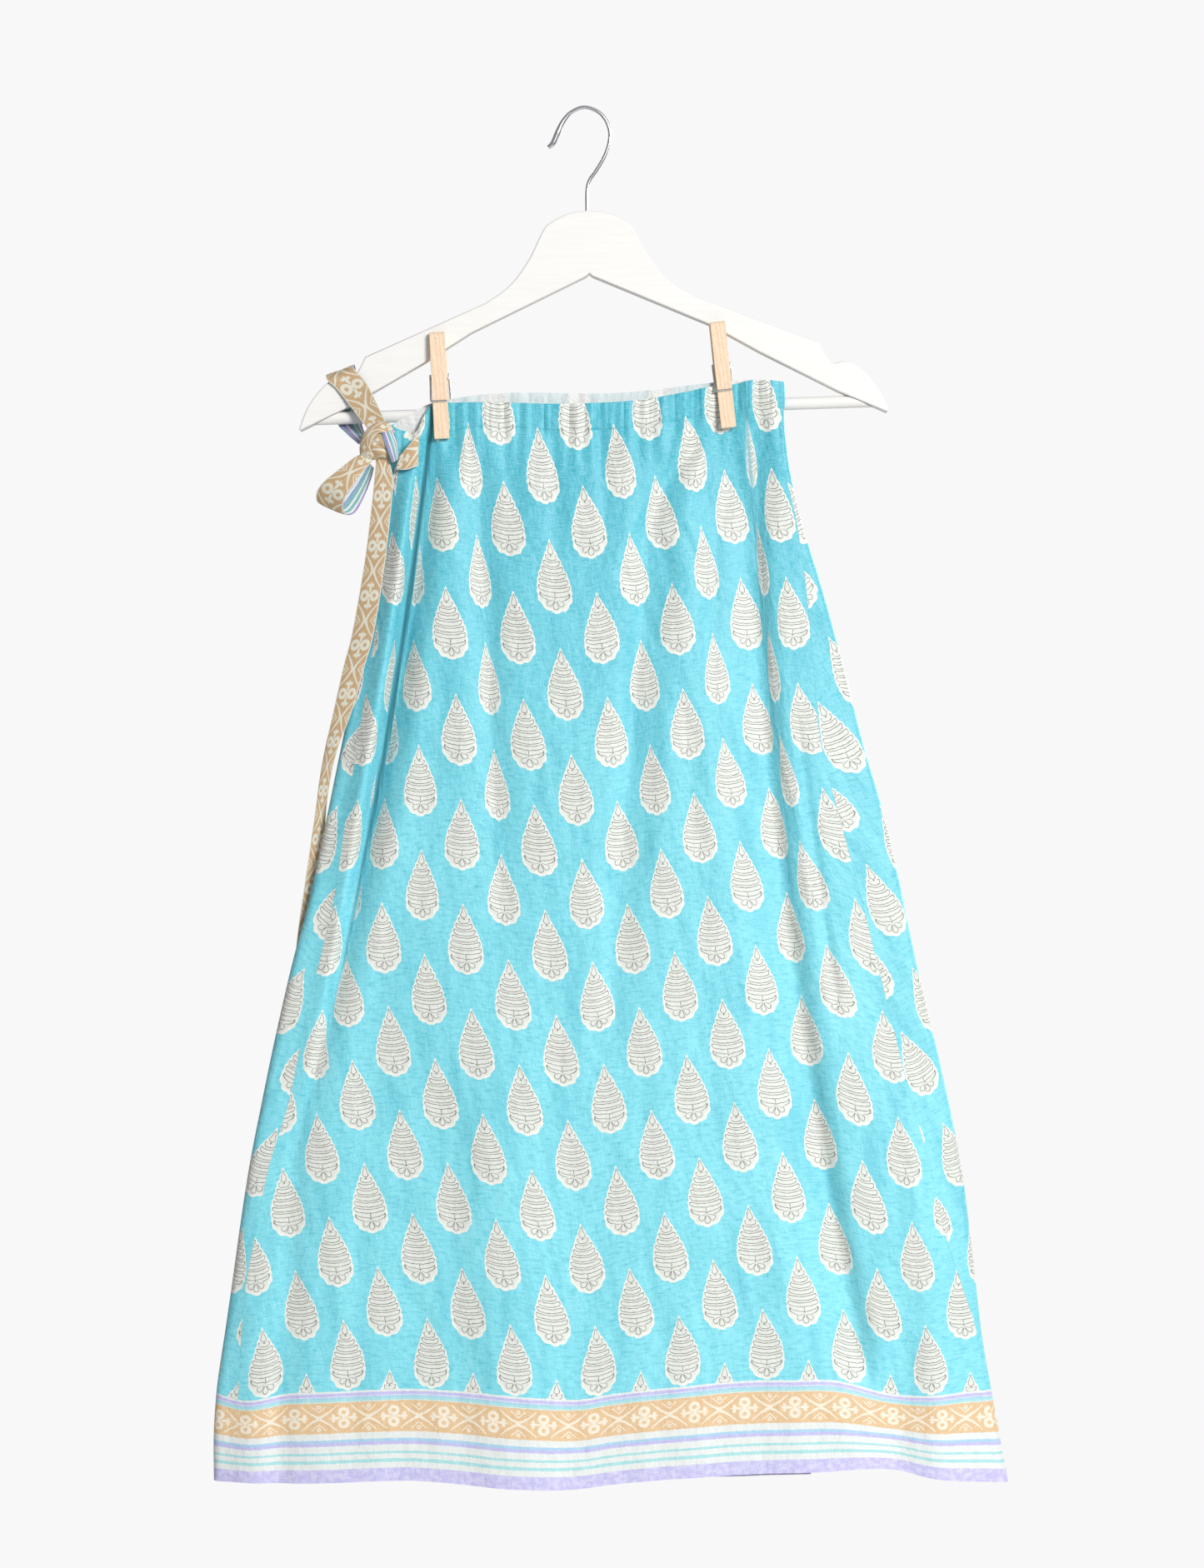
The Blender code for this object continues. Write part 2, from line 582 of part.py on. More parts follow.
def make_band(name, first_lap, last_lap, middle, puff):
    """Half of the elastic's casing, from one side edge to the other, with these laps between."""
    drop = np.linspace(-1, 0, BAND_ROWS + 1)
    gap = SEAM_GAP / 2 / (level(BAND_LEVEL, "edge") * math.pi / 2)
    turn = np.array([gap, *EDGE_TURN, 1.0])
    inside = (middle > first_lap + 1.01) & (middle < last_lap - 1.01)
    lap = np.concatenate([first_lap + turn, middle[inside], last_lap - turn[::-1]])
    lap, drop = np.meshgrid(lap, drop)
    normals = skirt_normals(lap, drop)
    base = skirt_surface(lap, drop)
    swell = BAND_OUT + puff * np.sin(-np.pi * drop) ** PUFF_POWER
    outer = base + normals * swell[..., None]
    inner = base - normals * BAND_WALL
    solid(name, outer, inner, "turquoise_print")


def front_band_laps():
    """The front panel's own laps along the waist seam, and the ones between them."""
    lap = front_grid()[0][0]
    at = np.arange(BAND_SPLIT * (len(lap) - 1) + 1) / BAND_SPLIT
    return np.interp(at, np.arange(len(lap)), lap)


def along_rows(rows, per_row):
    """The strap's rows with smooth ones between, as an array of the two edges."""
    table = np.array(rows, float)
    knots = np.arange(len(table))
    at = np.linspace(0, len(table) - 1, (len(table) - 1) * per_row + 1)
    return np.stack([smooth_curve(at, knots, table[:, c]) for c in range(6)], axis=-1)


def make_strap(name, rows, crown=TIE_CROWN):
    """A flat strap of two layers of cloth, a little raised along its middle."""
    table = along_rows(rows, 2)
    first = table[:, :3]
    last = table[:, 3:]
    across = last - first
    along = np.gradient((first + last) / 2, axis=0)
    normal = np.cross(along, across)
    normal /= np.linalg.norm(normal, axis=1, keepdims=True)
    line = np.stack([first + across * s for s in STRAP_SHARES], axis=1)
    raised = np.array([crown * 4 * s * (1 - s) for s in STRAP_SHARES])[None, :, None]
    line = line + normal[:, None, :] * raised
    half = normal[:, None, :] * (TIE_WALL / 2)
    solid(name, line + half, line - half, "strap_print")


def make_knot():
    """The knot as a rounded lump with the rolls of the strap wound round it."""
    mesh = bpy.data.meshes.new("tie_knot")
    build = bmesh.new()
    bmesh.ops.create_uvsphere(
        build, u_segments=KNOT_SIDES, v_segments=KNOT_RINGS, radius=1.0
    )
    for vert in build.verts:
        x, y, z = vert.co
        slant = x * KNOT_SLANT[0] + z * KNOT_SLANT[1]
        roll = 1 + KNOT_ROLL_DEPTH * (abs(math.sin(slant * math.pi * KNOT_ROLLS / 2)) - 1)
        vert.co = [
            (c + p * r * roll) * MM for c, p, r in zip(KNOT_CENTRE, (x, y, z), KNOT_RADII)
        ]
    build.to_mesh(mesh)
    build.free()
    mesh.shade_smooth()
    mesh.materials.append(look("strap_print"))
    thing = bpy.data.objects.new("tie_knot", mesh)
    bpy.context.scene.collection.objects.link(thing)


def smooth_route(points, per_span):
    """Places on a smooth curve through these points."""
    table = np.array(points, float)
    knots = np.arange(len(table))
    at = np.linspace(0, len(table) - 1, (len(table) - 1) * per_span + 1)
    return np.stack([smooth_curve(at, knots, table[:, c]) for c in range(table.shape[1])], axis=-1)


def make_wire(name, points, radius, sides, ball=()):
    """A round wire along these points, with its first radii from ball."""
    curve = bpy.data.curves.new(name, "CURVE")
    curve.dimensions = "3D"
    curve.bevel_depth = radius * MM
    curve.bevel_resolution = (sides - 4) // 2
    curve.use_fill_caps = True
    line = curve.splines.new("POLY")
    line.points.add(len(points) - 1)
    for index, place in enumerate(points):
        line.points[index].co = (*(np.array(place) * MM), 1.0)
        line.points[index].radius = ball[index] if index < len(ball) else 1.0
    curve.materials.append(look("chrome"))
    thing = bpy.data.objects.new(name, curve)
    bpy.context.scene.collection.objects.link(thing)
    return thing


def make_hook():
    route = smooth_route([(p.across, 0.0, p.height) for p in HOOK_ROUTE], 3)
    make_wire("hanger_hook", route, WIRE_RADIUS, 8, HOOK_BALL)


def extruded(name, outline, thickness, material, bevel):
    """A board of this outline in its own XZ plane, centred on its own Y."""
    mesh = bpy.data.meshes.new(name)
    build = bmesh.new()
    back = [build.verts.new((x * MM, thickness / 2 * MM, z * MM)) for x, z in outline]
    front = [build.verts.new((x * MM, -thickness / 2 * MM, z * MM)) for x, z in outline]
    build.faces.new(back)
    build.faces.new(front[::-1])
    for i in range(len(outline)):
        j = (i + 1) % len(outline)
        build.faces.new((back[i], front[i], front[j], back[j]))
    bmesh.ops.recalc_face_normals(build, faces=build.faces)
    build.to_mesh(mesh)
    build.free()
    mesh.materials.append(look(material))
    thing = bpy.data.objects.new(name, mesh)
    bpy.context.scene.collection.objects.link(thing)
    rounding = thing.modifiers.new("rounded edges", "BEVEL")
    rounding.width = bevel * MM
    rounding.segments = 2
    rounding.limit_method = "ANGLE"
    rounding.angle_limit = math.radians(60)
    return thing


def place_on_hanger(thing):
    """Puts a piece drawn in the hanger's own frame where the tilted hanger hangs."""
    thing.location = (HANGER_TOP[0] * MM, 0.0, HANGER_TOP[1] * MM)
    thing.rotation_euler = (0.0, -HANGER_TILT, 0.0)


def make_hanger():
    """The wooden board, its two arms alike."""
    upper = [tuple(p) for p in smooth_route(HANGER_SHOULDER, 2)]
    upper += [tuple(p) for p in smooth_route(HANGER_END, 2)]
    half = upper + list(HANGER_UNDERSIDE) + list(HANGER_APEX)
    other = [(-x, z) for x, z in half[1:-1]][::-1]
    place_on_hanger(
        extruded("hanger_wood", half + other, HANGER_THICK, "painted_wood", HANGER_ROUND)
    )


def make_bar():
    """The round bar, its ends cut along the arms' undersides."""
    outer, inner = HANGER_UNDERSIDE[:2]
    slope = (outer.across - inner.across) / (outer.height - inner.height)
    mesh = bpy.data.meshes.new("hanger_bar")
    build = bmesh.new()
    ends = []
    for side in (-1, 1):
        ring = []
        for i in range(BAR_SIDES):
            angle = 2 * math.pi * i / BAR_SIDES
            z = BAR_HEIGHT + BAR_RADIUS * math.sin(angle)
            x = inner.across + (z - inner.height) * slope - BAR_GAP
            place = (side * x * MM, BAR_RADIUS * math.cos(angle) * MM, z * MM)
            ring.append(build.verts.new(place))
        ends.append(ring)
    left, right = ends
    build.faces.new(left)
    build.faces.new(right[::-1])
    for i in range(BAR_SIDES):
        j = (i + 1) % BAR_SIDES
        build.faces.new((left[i], right[i], right[j], left[j]))
    bmesh.ops.recalc_face_normals(build, faces=build.faces)
    build.to_mesh(mesh)
    build.free()
    mesh.shade_smooth()
    mesh.set_sharp_from_angle(angle=WOOD_SHARP)
    mesh.materials.append(look("painted_wood"))
    thing = bpy.data.objects.new("hanger_bar", mesh)
    bpy.context.scene.collection.objects.link(thing)
    place_on_hanger(thing)


def peg_leg(name, profile):
    """A leg of a peg, drawn from the side and as wide as the peg."""
    thing = extruded(name, [(p.depth, p.height) for p in profile], PEG_WIDTH, "birch", PEG_ROUND)
    quarter_turn = np.array([[0, -1, 0], [1, 0, 0], [0, 0, 1]], float)
    for vert in thing.data.vertices:
        vert.co = quarter_turn @ np.array(vert.co)
    return thing


def spring_route():
    """The spring's wire: over the front leg, back to the coil, round it and over the back leg."""
    bend = SPRING_BEND
    out = SPRING_REACH
    low = SPRING_ARM_HEIGHT
    route = [
        (out - bend, SPRING_FRONT, low), (0.0, SPRING_FRONT, low), (bend - out, SPRING_FRONT, low),
        (-out, SPRING_FRONT + bend, low + bend),
        (-out, SPRING_FRONT_ARM[0], SPRING_HEIGHT + SPRING_FRONT_ARM[1]),
    ]
    steps = int(SPRING_TURNS * SPRING_STEPS)
    for i in range(steps + 1):
        angle = SPRING_START + 2 * math.pi * i / SPRING_STEPS
        route.append((
            out * (2 * i / steps - 1),
            SPRING_DEPTH + SPRING_COIL * math.cos(angle),
            SPRING_HEIGHT + SPRING_COIL * math.sin(angle),
        ))
    route += [
        (out, SPRING_BACK_ARM[0], SPRING_HEIGHT + SPRING_BACK_ARM[1]),
        (out, SPRING_BACK - bend, low + bend),
        (out - bend, SPRING_BACK, low), (0.0, SPRING_BACK, low), (bend - out, SPRING_BACK, low),
    ]
    return route


def make_peg(peg):
    """A sprung peg on the band and the bar: two legs and the spring, leaning with the cloth."""
    lean = math.atan2(peg.top_x - peg.bottom_x, peg.top_z - peg.bottom_z)
    pieces = (
        peg_leg(f"peg_{peg.side}_front", PEG_FRONT_LEG),
        peg_leg(f"peg_{peg.side}_back", PEG_BACK_LEG),
        make_wire(f"peg_{peg.side}_spring", spring_route(), SPRING_WIRE, 6),
    )
    for piece in pieces:
        piece.location = (peg.bottom_x * MM, 0.0, peg.bottom_z * MM)
        piece.rotation_euler = (0.0, lean, 0.0)


def main():
    clear_scene()
    make_front()
    make_back()
    make_underlap()
    make_band("waistband_front", 0, 3, front_band_laps(), BAND_PUFF)
    make_band("waistband_back", 3, 6, np.linspace(4, 5, BACK_BAND_COLUMNS + 1), 0.0)
    make_strap("tie_loop", TIE_LOOP)
    make_strap("tie_bow_left", TIE_BOW_LEFT)
    make_strap("tie_bow_right", TIE_BOW_RIGHT)
    make_strap("tie_knot_wrap", TIE_KNOT_WRAP)
    make_strap("tie_tail", TIE_TAIL, TAIL_CROWN)
    make_knot()
    make_hook()
    make_hanger()
    make_bar()
    for peg in PEGS:
        make_peg(peg)


main()
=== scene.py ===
"""Looks of a printed wrap skirt that hangs from a wooden hanger by two pegs.

The cloth is a thin shell on the form of its solids, with finer creases. Tables are in millimetres:
across is +X, height is +Z and depth is +Y, and the skirt faces -Y. Round the skirt's tube a place
is a lap from 0 to 6: 0 to 1 is the left edge's front quarter, 1 to 2 the front, 2 to 4 the right
edge, 4 to 5 the back and 5 to 6 the left edge's back quarter. Down it a place is a drop: -1 is the
rim, 0 the waist seam and 1 the hem.
"""

import math
from collections import namedtuple

import bmesh
import bpy
import mathutils
import numpy as np
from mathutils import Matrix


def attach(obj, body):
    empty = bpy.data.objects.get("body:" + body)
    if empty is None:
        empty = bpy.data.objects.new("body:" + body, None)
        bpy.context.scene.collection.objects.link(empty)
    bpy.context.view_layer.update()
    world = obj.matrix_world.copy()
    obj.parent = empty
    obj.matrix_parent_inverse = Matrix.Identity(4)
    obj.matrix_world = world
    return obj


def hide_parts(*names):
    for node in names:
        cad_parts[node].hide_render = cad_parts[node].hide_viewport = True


MM = 0.001


def table(row, *values):
    """A short table: rows of values under the row's column names."""
    return tuple(row(*v) for v in values)


# Cloth
CLOTH_WALL = 0.5
SEAM_GAP = 0.06
WAIST_GAP = 0.06
SKIRT_LENGTH = 765.0
BACK_TUCKS = 0.3
BAND_OUT = 0.3
BAND_PUFF = 0.8
BAND_WALL = 1.0
TIE_WALL = 1.0
TIE_RIM = 0.35
TIE_RIM_POWER = 6
WAIST_LEVEL = -230
BAND_LEVEL = -220
HEM_LEVEL = -1000
MIDDLE_LEVEL = -600.0
ARCH_POWER = 2.2
EDGE_PLAY = 2.0
EDGE_CALM = 16.0
PUFF_POWER = 0.7

# How finely the cloth is divided
FRONT_COLUMNS = 232
FRONT_ROWS = 204
BACK_COLUMNS = 120
BACK_ROWS = 140
STRIP_COLUMNS = 6
EDGE_COLUMNS = 6
UNDERLAP_COLUMNS = 90
UNDERLAP_ROWS = 100
BAND_COLUMNS = 360
BAND_ROWS = 14
ROWS_EVEN = 0.55
HEIGHT_ROUNDS = 5
NORMAL_STEP = 0.0015
CLOTH_ROOM = 2.6
LEAST_ROOM = 0.05
EASE_FROM = 0.6
CLOTH_SHARP = math.radians(70)
WOOD_SHARP = math.radians(40)
ROUND_FROM = math.radians(60)

# The wrap's inner layer starts this far from the left seam and ends this far along the front
UNDERLAP_FROM = 2 / 44
UNDERLAP_TO = 33 / 44
UNDERLAP_CLEAR = 0.4
UNDERLAP_GAP_TOP = 0.4
UNDERLAP_GAP_HEM = 7.0
UNDERLAP_GAP_LENGTH = 0.7
UNDERLAP_PEEK = 2.6
UNDERLAP_PEEK_FROM = 60.0
UNDERLAP_PEEK_OVER = 60.0

# Outline, side seams and depth of the skirt at each height
Level = namedtuple("Level", "height left left_seam right_seam right middle front back edge")
LEVELS = table(
    Level,
    (-1010, -270, -255, 308, 311, 0.0, 32.0, 13.5, 6.0),
    (-961, -270, -253, 299, 302, 0.0, 31.5, 13.0, 6.0),
    (-934, -268, -251, 293, 297, -0.5, 31.0, 13.0, 6.0),
    (-893, -262, -249, 286, 290, -1.0, 30.0, 12.5, 6.0),
    (-859, -257, -246, 275, 286, -1.5, 29.5, 12.0, 6.0),
    (-816, -251, -238, 261, 281, -2.0, 28.5, 11.5, 6.0),
    (-771, -244, -229, 251, 275, -2.5, 27.5, 11.0, 6.0),
    (-725, -235, -215, 238, 266, -3.0, 26.5, 10.5, 6.0),
    (-668, -223, -203, 224, 253, -4.0, 25.0, 10.0, 6.0),
    (-617, -211, -191, 211, 241, -4.5, 23.5, 9.5, 5.8),
    (-584, -202, -183, 203, 234, -5.0, 22.5, 9.0, 5.6),
    (-520, -188, -173, 186, 220, -6.0, 20.5, 8.5, 5.3),
    (-462, -176, -164, 172, 203, -7.0, 18.5, 8.0, 5.0),
    (-407, -164, -155, 167, 189, -7.5, 16.5, 7.0, 4.8),
    (-346, -152, -146, 161, 172, -8.0, 14.0, 6.0, 4.5),
    (-300, -146, -139, 154, 158, -8.2, 11.5, 5.0, 4.2),
    (-260, -142, -134, 145, 149, -8.4, 7.5, 4.0, 3.8),
    (-235, -140, -131, 142, 146, -8.5, 4.2, 2.9, 3.0),
    (-195, -139, -130, 141, 145, -8.5, 3.4, 2.9, 2.9),
)

# Upper edge of the waistband, the seam under it and the hem, each in front and behind
Edge = namedtuple("Edge", "across height")
FRONT_RIM = table(
    Edge, (-141, -232), (-130, -236), (-121, -235), (-116, -224), (-111, -216.5), (-95, -215.5),
    (-1, -216), (44, -213), (72, -208), (96, -203), (108, -202), (122, -199), (145, -200),
)
BACK_RIM = table(
    Edge, (-141, -232), (-128, -224), (-113, -216), (-95, -212), (36, -207), (97, -200),
    (120, -198), (145, -200),
)
FRONT_SEAM = table(
    Edge, (-141, -252), (-127, -248), (-110, -239), (-95, -235.5), (-1, -235.2), (44, -232.2),
    (72, -227.3), (96, -222.2), (108, -221.2), (122, -218.6), (145, -219.4),
)
BACK_SEAM = table(
    Edge, (-141, -252), (-118, -240), (-90, -232.5), (36, -226.4), (97, -220), (145, -219.4),
)
FRONT_HEM = table(
    Edge, (-270, -1000), (-213, -1000), (-122, -996.5), (-49, -1001), (-1, -1001), (18, -998.5),
    (102, -992), (166, -990), (226, -990), (252, -996), (278, -999), (310, -1001),
)
BACK_HEM = table(
    Edge, (-270, -1000), (-150, -994), (20, -991), (180, -986), (310, -1001),
)

# Folds: the line each follows down the cloth, its depth (into the skirt, or out where it is below
# 0), how far it spreads to the left and right of its line, and the lengths over which it fades
Fold = namedtuple(
    "Fold", "top_x top_z middle_x middle_z end_x end_z depth left right fade_in fade_out"
)
FRONT_FOLDS = table(
    Fold,
    (-108, -232, -131, -400, -176, -605, 5.0, 6, 14, 60, 170),
    (-124, -232, -145, -400, -190, -605, -5.0, 11, 8, 60, 190),
    (-76, -236, -63, -510, -52, -660, 2.4, 12, 14, 50, 160),
    (-95, -250, -92, -400, -88, -560, -1.4, 14, 14, 70, 180),
    (62, -240, 34, -510, 15, -745, 4.6, 14, 16, 40, 190),
    (90, -250, 93, -350, 95, -440, 2.0, 9, 10, 60, 90),
    (72, -400, 74, -470, 79, -560, 1.4, 8, 10, 60, 90),
    (113, -222, 149, -626, 205, -945, 9.4, 24, 13, 30, 60),
    (98, -236, 66, -262, 30, -312, 1.2, 8, 8, 14, 36),
    (100, -238, 84, -275, 66, -330, 1.0, 7, 8, 14, 40),
    (-128, -560, -124, -800, -122, -1010, 3.2, 28, 34, 250, 1),
    (-70, -600, -58, -800, -49, -1010, -2.6, 30, 30, 250, 1),
    (4, -640, 14, -820, 22, -1010, 3.0, 26, 30, 220, 1),
    (92, -610, 100, -800, 108, -1010, 2.6, 26, 30, 230, 1),
    (232, -820, 228, -920, 226, -1010, 4.0, 18, 16, 120, 1),
    (222, -640, 246, -820, 262, -1010, -3.0, 16, 14, 160, 1),
    (-238, -740, -240, -880, -242, -1010, -3.0, 12, 14, 160, 1),
)
BACK_FOLDS = table(
    Fold,
    (-84, -260, -122, -560, -160, -1010, 4.6, 22, 30, 200, 1),
    (-20, -240, -30, -560, -44, -1010, 5.4, 18, 24, 160, 1),
    (30, -240, 48, -560, 62, -1010, -3.0, 24, 24, 240, 1),
    (70, -240, 112, -560, 146, -1010, 5.0, 20, 26, 190, 1),
    (112, -260, 176, -560, 236, -1010, 4.0, 18, 20, 220, 1),
)

# Finer creases on the front: the left fold's valley and ridges, the drag lines of the right peg,
# the long line at the right, and the short ones under the elastic
FRONT_CREASES = table(
    Fold,
    (-113, -238, -150, -490, -220, -804, 8.5, 4.0, 7.0, 20, 320),
    (-97, -246, -128, -480, -196, -780, -2.6, 8, 13, 40, 260),
    (-121, -250, -158, -490, -228, -804, -3.4, 7, 4, 40, 300),
    (-78, -238, -64, -500, -52, -680, 1.2, 7, 9, 16, 220),
    (50, -262, 30, -500, 14, -700, 1.8, 6, 7, 60, 240),
    (91, -262, 94, -400, 100, -520, 1.4, 7, 8, 40, 110),
    (80, -420, 82, -520, 90, -660, 1.0, 8, 9, 80, 120),
    (119, -221, 155, -626, 211, -945, 2.2, 8, 6, 12, 80),
    (152, -430, 170, -560, 190, -700, 2.2, 5, 4, 60, 90),
    (86, -236, 50, -296, 22, -352, 1.8, 8, 10, 14, 50),
    (76, -238, 40, -298, 12, -354, -1.1, 8, 7, 16, 50),
    (102, -238, 88, -278, 74, -330, 1.4, 6, 8, 12, 44),
    (94, -240, 80, -282, 66, -334, -0.8, 6, 5, 14, 44),
    (110, -240, 102, -290, 88, -360, 1.1, 5, 7, 20, 60),
    (48, -300, 58, -330, 66, -372, 0.8, 4, 5, 16, 30),
    (62, -292, 76, -318, 84, -352, 0.8, 4, 4, 14, 24),
    (24, -330, 36, -352, 58, -420, 0.7, 4, 5, 14, 40),
    (-95, -236, -92, -262, -90, -300, 1.2, 5, 6, 5, 56),
    (-56, -234, -54, -272, -54, -352, 1.6, 6, 8, 5, 100),
    (-41, -234, -40, -250, -40, -272, 0.9, 3, 3, 5, 32),
    (-22, -234, -20, -282, -16, -392, 1.5, 8, 7, 5, 130),
    (-4, -234, -3, -250, -2, -270, 0.9, 3, 4, 5, 30),
    (12, -232, 14, -268, 18, -340, 1.6, 5, 7, 5, 84),
    (41, -230, 41, -256, 39, -292, 1.1, 4, 5, 5, 50),
    (66, -226, 63, -250, 58, -280, 1.2, 5, 4, 5, 40),
    (128, -219, 132, -262, 138, -330, 1.6, 5, 6, 5, 76),
    (-150, -560, -156, -760, -170, -1005, 1.4, 12, 14, 150, 30),
    (-100, -640, -92, -800, -84, -1005, 1.5, 12, 16, 160, 1),
    (-24, -520, -16, -760, -8, -1005, 1.5, 14, 14, 200, 1),
    (40, -700, 52, -860, 60, -1005, 1.5, 12, 15, 160, 1),
    (140, -560, 130, -760, 134, -1005, 1.2, 13, 14, 180, 1),
    (-205, -640, -212, -800, -222, -1005, 2.0, 9, 10, 140, 1),
)
BACK_CREASES = table(
    Fold,
    (-104, -232, -116, -330, -128, -470, 2.4, 6, 9, 8, 180),
    (-70, -228, -74, -290, -80, -390, 2.0, 6, 6, 8, 120),
    (-46, -227, -48, -262, -50, -310, 1.6, 4, 5, 6, 60),
    (-22, -226, -22, -300, -26, -430, 2.2, 6, 8, 6, 150),
    (6, -226, 8, -262, 10, -312, 1.5, 4, 5, 6, 60),
    (30, -226, 35, -300, 42, -420, 2.2, 7, 6, 6, 140),
    (58, -223, 62, -262, 66, -320, 1.6, 5, 5, 6, 66),
    (84, -221, 94, -320, 108, -480, 2.4, 7, 8, 6, 170),
    (112, -220, 122, -280, 130, -350, 1.8, 5, 6, 6, 80),
    (-60, -460, -72, -700, -92, -1005, 2.6, 12, 14, 200, 1),
    (20, -500, 26, -740, 34, -1005, 2.4, 14, 12, 220, 1),
    (130, -520, 158, -760, 192, -1005, 2.6, 12, 14, 200, 1),
    (-150, -560, -176, -760, -206, -1005, 2.2, 11, 12, 180, 1),
)

# The narrow tucks that the elastic draws across the waistband, and how far they run below it
BandTuck = namedtuple("BandTuck", "across depth width run")
BAND_TUCKS = table(
    BandTuck, (-133, 0.6, 1.4, 10), (-121, 0.5, 1.3, 7), (-93.5, 0.8, 1.5, 14),
    (-84.5, 0.9, 1.3, 9), (-75.5, 0.5, 1.6, 12), (-69, 0.8, 1.2, 6), (-58, 0.6, 1.5, 15),
    (-51, 0.9, 1.2, 8), (-38.5, 0.7, 1.7, 12), (-29, 0.9, 1.2, 7), (-24, 0.5, 1.4, 10),
    (-11, 0.8, 1.5, 13), (0.5, 0.6, 1.2, 6), (8, 0.9, 1.4, 12), (17.5, 0.6, 1.6, 9),
    (29, 0.8, 1.3, 12), (35, 0.5, 1.2, 6), (47, 0.8, 1.5, 11), (55, 0.9, 1.3, 8),
    (66, 0.6, 1.4, 13), (76, 0.9, 1.2, 9), (84, 0.6, 1.5, 10), (112, 0.8, 1.4, 12),
    (119, 0.9, 1.2, 9), (127, 0.7, 1.5, 12), (135, 0.8, 1.3, 8),
)

# Cloth that folds hide: the line of each, the width over which it goes out of sight, and how much
Hidden = namedtuple(
    "Hidden", "top_x top_z middle_x middle_z end_x end_z width cloth fade_out"
)
HIDDEN = table(
    Hidden,
    (-112, -236, -149, -490, -216, -790, 5.5, 24, 300),
    (-108, -236, -131, -381, -174, -600, 14, 16, 230),
    (-81, -236, -69, -416, -52, -640, 24, 11.5, 220),
    (-30, -220, -26, -300, -24, -380, 50, 3.5, 120),
    (30, -220, 36, -300, 44, -380, 50, 3.5, 120),
    (40, -300, 46, -413, 62, -640, 26, 4.0, 230),
    (90, -232, 94, -400, 102, -560, 24, 8.0, 160),
    (117, -219, 135, -420, 165, -700, 7.0, 12, 300),
    (122, -219, 141, -420, 171, -700, 16, 14, 300),
)

# A fold swallows the print, and paints its ground darker as painted shade, where this much cloth
# goes out of sight for each millimetre across
FOLD_FROM = 2.2
FOLD_OVER = 3.6

# Tucks of the elastic: waves a hand's gathers apart, that die out below the waist seam
Tuck = namedtuple("Tuck", "spacing drift offset depth")
TUCKS = table(Tuck, (13.5, 3.1, 0.4, 0.42), (21.0, 5.0, 1.9, 0.34), (9.2, 2.4, 2.6, 0.22))
TUCK_FADE = 42.0
TUCK_WANDER = 41.0

# Where each peg bites: its upper and lower ends
Peg = namedtuple("Peg", "side top_x top_z bottom_x bottom_z")
PEGS = table(Peg, ("left", -107, -164, -103, -242), ("right", 97, -157, 105, -234))
PINCH_DEPTH = 1.6
PINCH_WIDTH = 13.0
PINCH_FADE = 30.0
PINCH_SHARE = 0.2

# Pegs: leg profiles as depth and height above the jaw's tip
PEG_WIDTH = 11.0
Profile = namedtuple("Profile", "depth height")
PEG_FRONT_LEG = table(
    Profile, (-12.4, 0.0), (-16.2, 0.0), (-16.8, 3.0), (-12.0, 76.6), (-10.6, 78.0), (-7.4, 78.0),
    (-7.2, 60.0), (-7.2, 42.0), (-12.4, 27.0),
)
PEG_BACK_LEG = table(
    Profile, (4.9, 0.0), (4.9, 26.0), (3.3, 42.0), (3.3, 55.0), (6.7, 62.0), (6.9, 78.0),
    (9.9, 78.0), (11.0, 76.6), (10.0, 3.0), (9.4, 0.0),
)
SPRING_WIRE = 0.7
SPRING_SIDES = 10
SPRING_COIL = 4.2
SPRING_TURNS = 3.5
SPRING_DEPTH = -1.95
SPRING_HEIGHT = 48.6
SPRING_REACH = 6.6
SPRING_ARM_HEIGHT = 27.4
SPRING_FRONT = -16.2
SPRING_BACK = 11.6
SPRING_BEND = 1.2
SPRING_FRONT_ARM = (-8.5, -9.0)
SPRING_BACK_ARM = (5.0, -7.0)
SPRING_STEPS = 9
SPRING_START = math.radians(200)
PEG_ROUND = 0.4

# Tie: each row gives both edges of the strap, upper or outer edge first
TIE_CROWN = 0.5
TAIL_CROWN = 0.3
Strap = namedtuple("Strap", "ax ay az bx by bz")
TIE_LOOP = table(
    Strap,
    (-157.5, -17.0, -234.4, -142.5, -16.5, -232.7),
    (-170.5, -10.0, -217.0, -155.0, -10.0, -206.5),
    (-180.0, -8.0, -205.0, -161.5, -8.0, -196.5),
    (-187.0, -7.6, -198.5, -167.0, -7.6, -190.5),
    (-188.0, 0.0, -194.0, -167.5, 0.0, -186.5),
    (-187.0, 7.6, -199.0, -167.0, 7.6, -190.5),
    (-184.5, 8.0, -213.0, -165.0, 8.0, -209.0),
    (-180.5, 6.8, -228.5, -162.5, 6.8, -229.0),
    (-174.0, -1.0, -236.0, -160.0, -1.0, -236.0),
    (-163.5, -13.0, -246.0, -158.8, -13.0, -238.2),
)
TIE_BOW_LEFT = table(
    Strap,
    (-159.8, -17.9, -252.5, -153.1, -18.9, -258.3),
    (-167.6, -20.4, -257.0, -158.6, -22.4, -265.5),
    (-177.6, -21.9, -265.0, -165.1, -23.9, -274.5),
    (-187.6, -20.9, -273.0, -171.6, -22.9, -283.5),
    (-193.6, -16.4, -280.5, -174.6, -18.4, -290.5),
    (-193.1, -10.9, -288.0, -173.6, -11.9, -296.5),
    (-183.6, -8.9, -286.5, -166.6, -7.9, -295.0),
    (-171.6, -8.9, -273.5, -159.6, -6.9, -282.5),
    (-162.6, -10.4, -262.0, -154.6, -8.9, -270.0),
    (-158.6, -12.4, -257.0, -152.6, -11.4, -263.0),
)
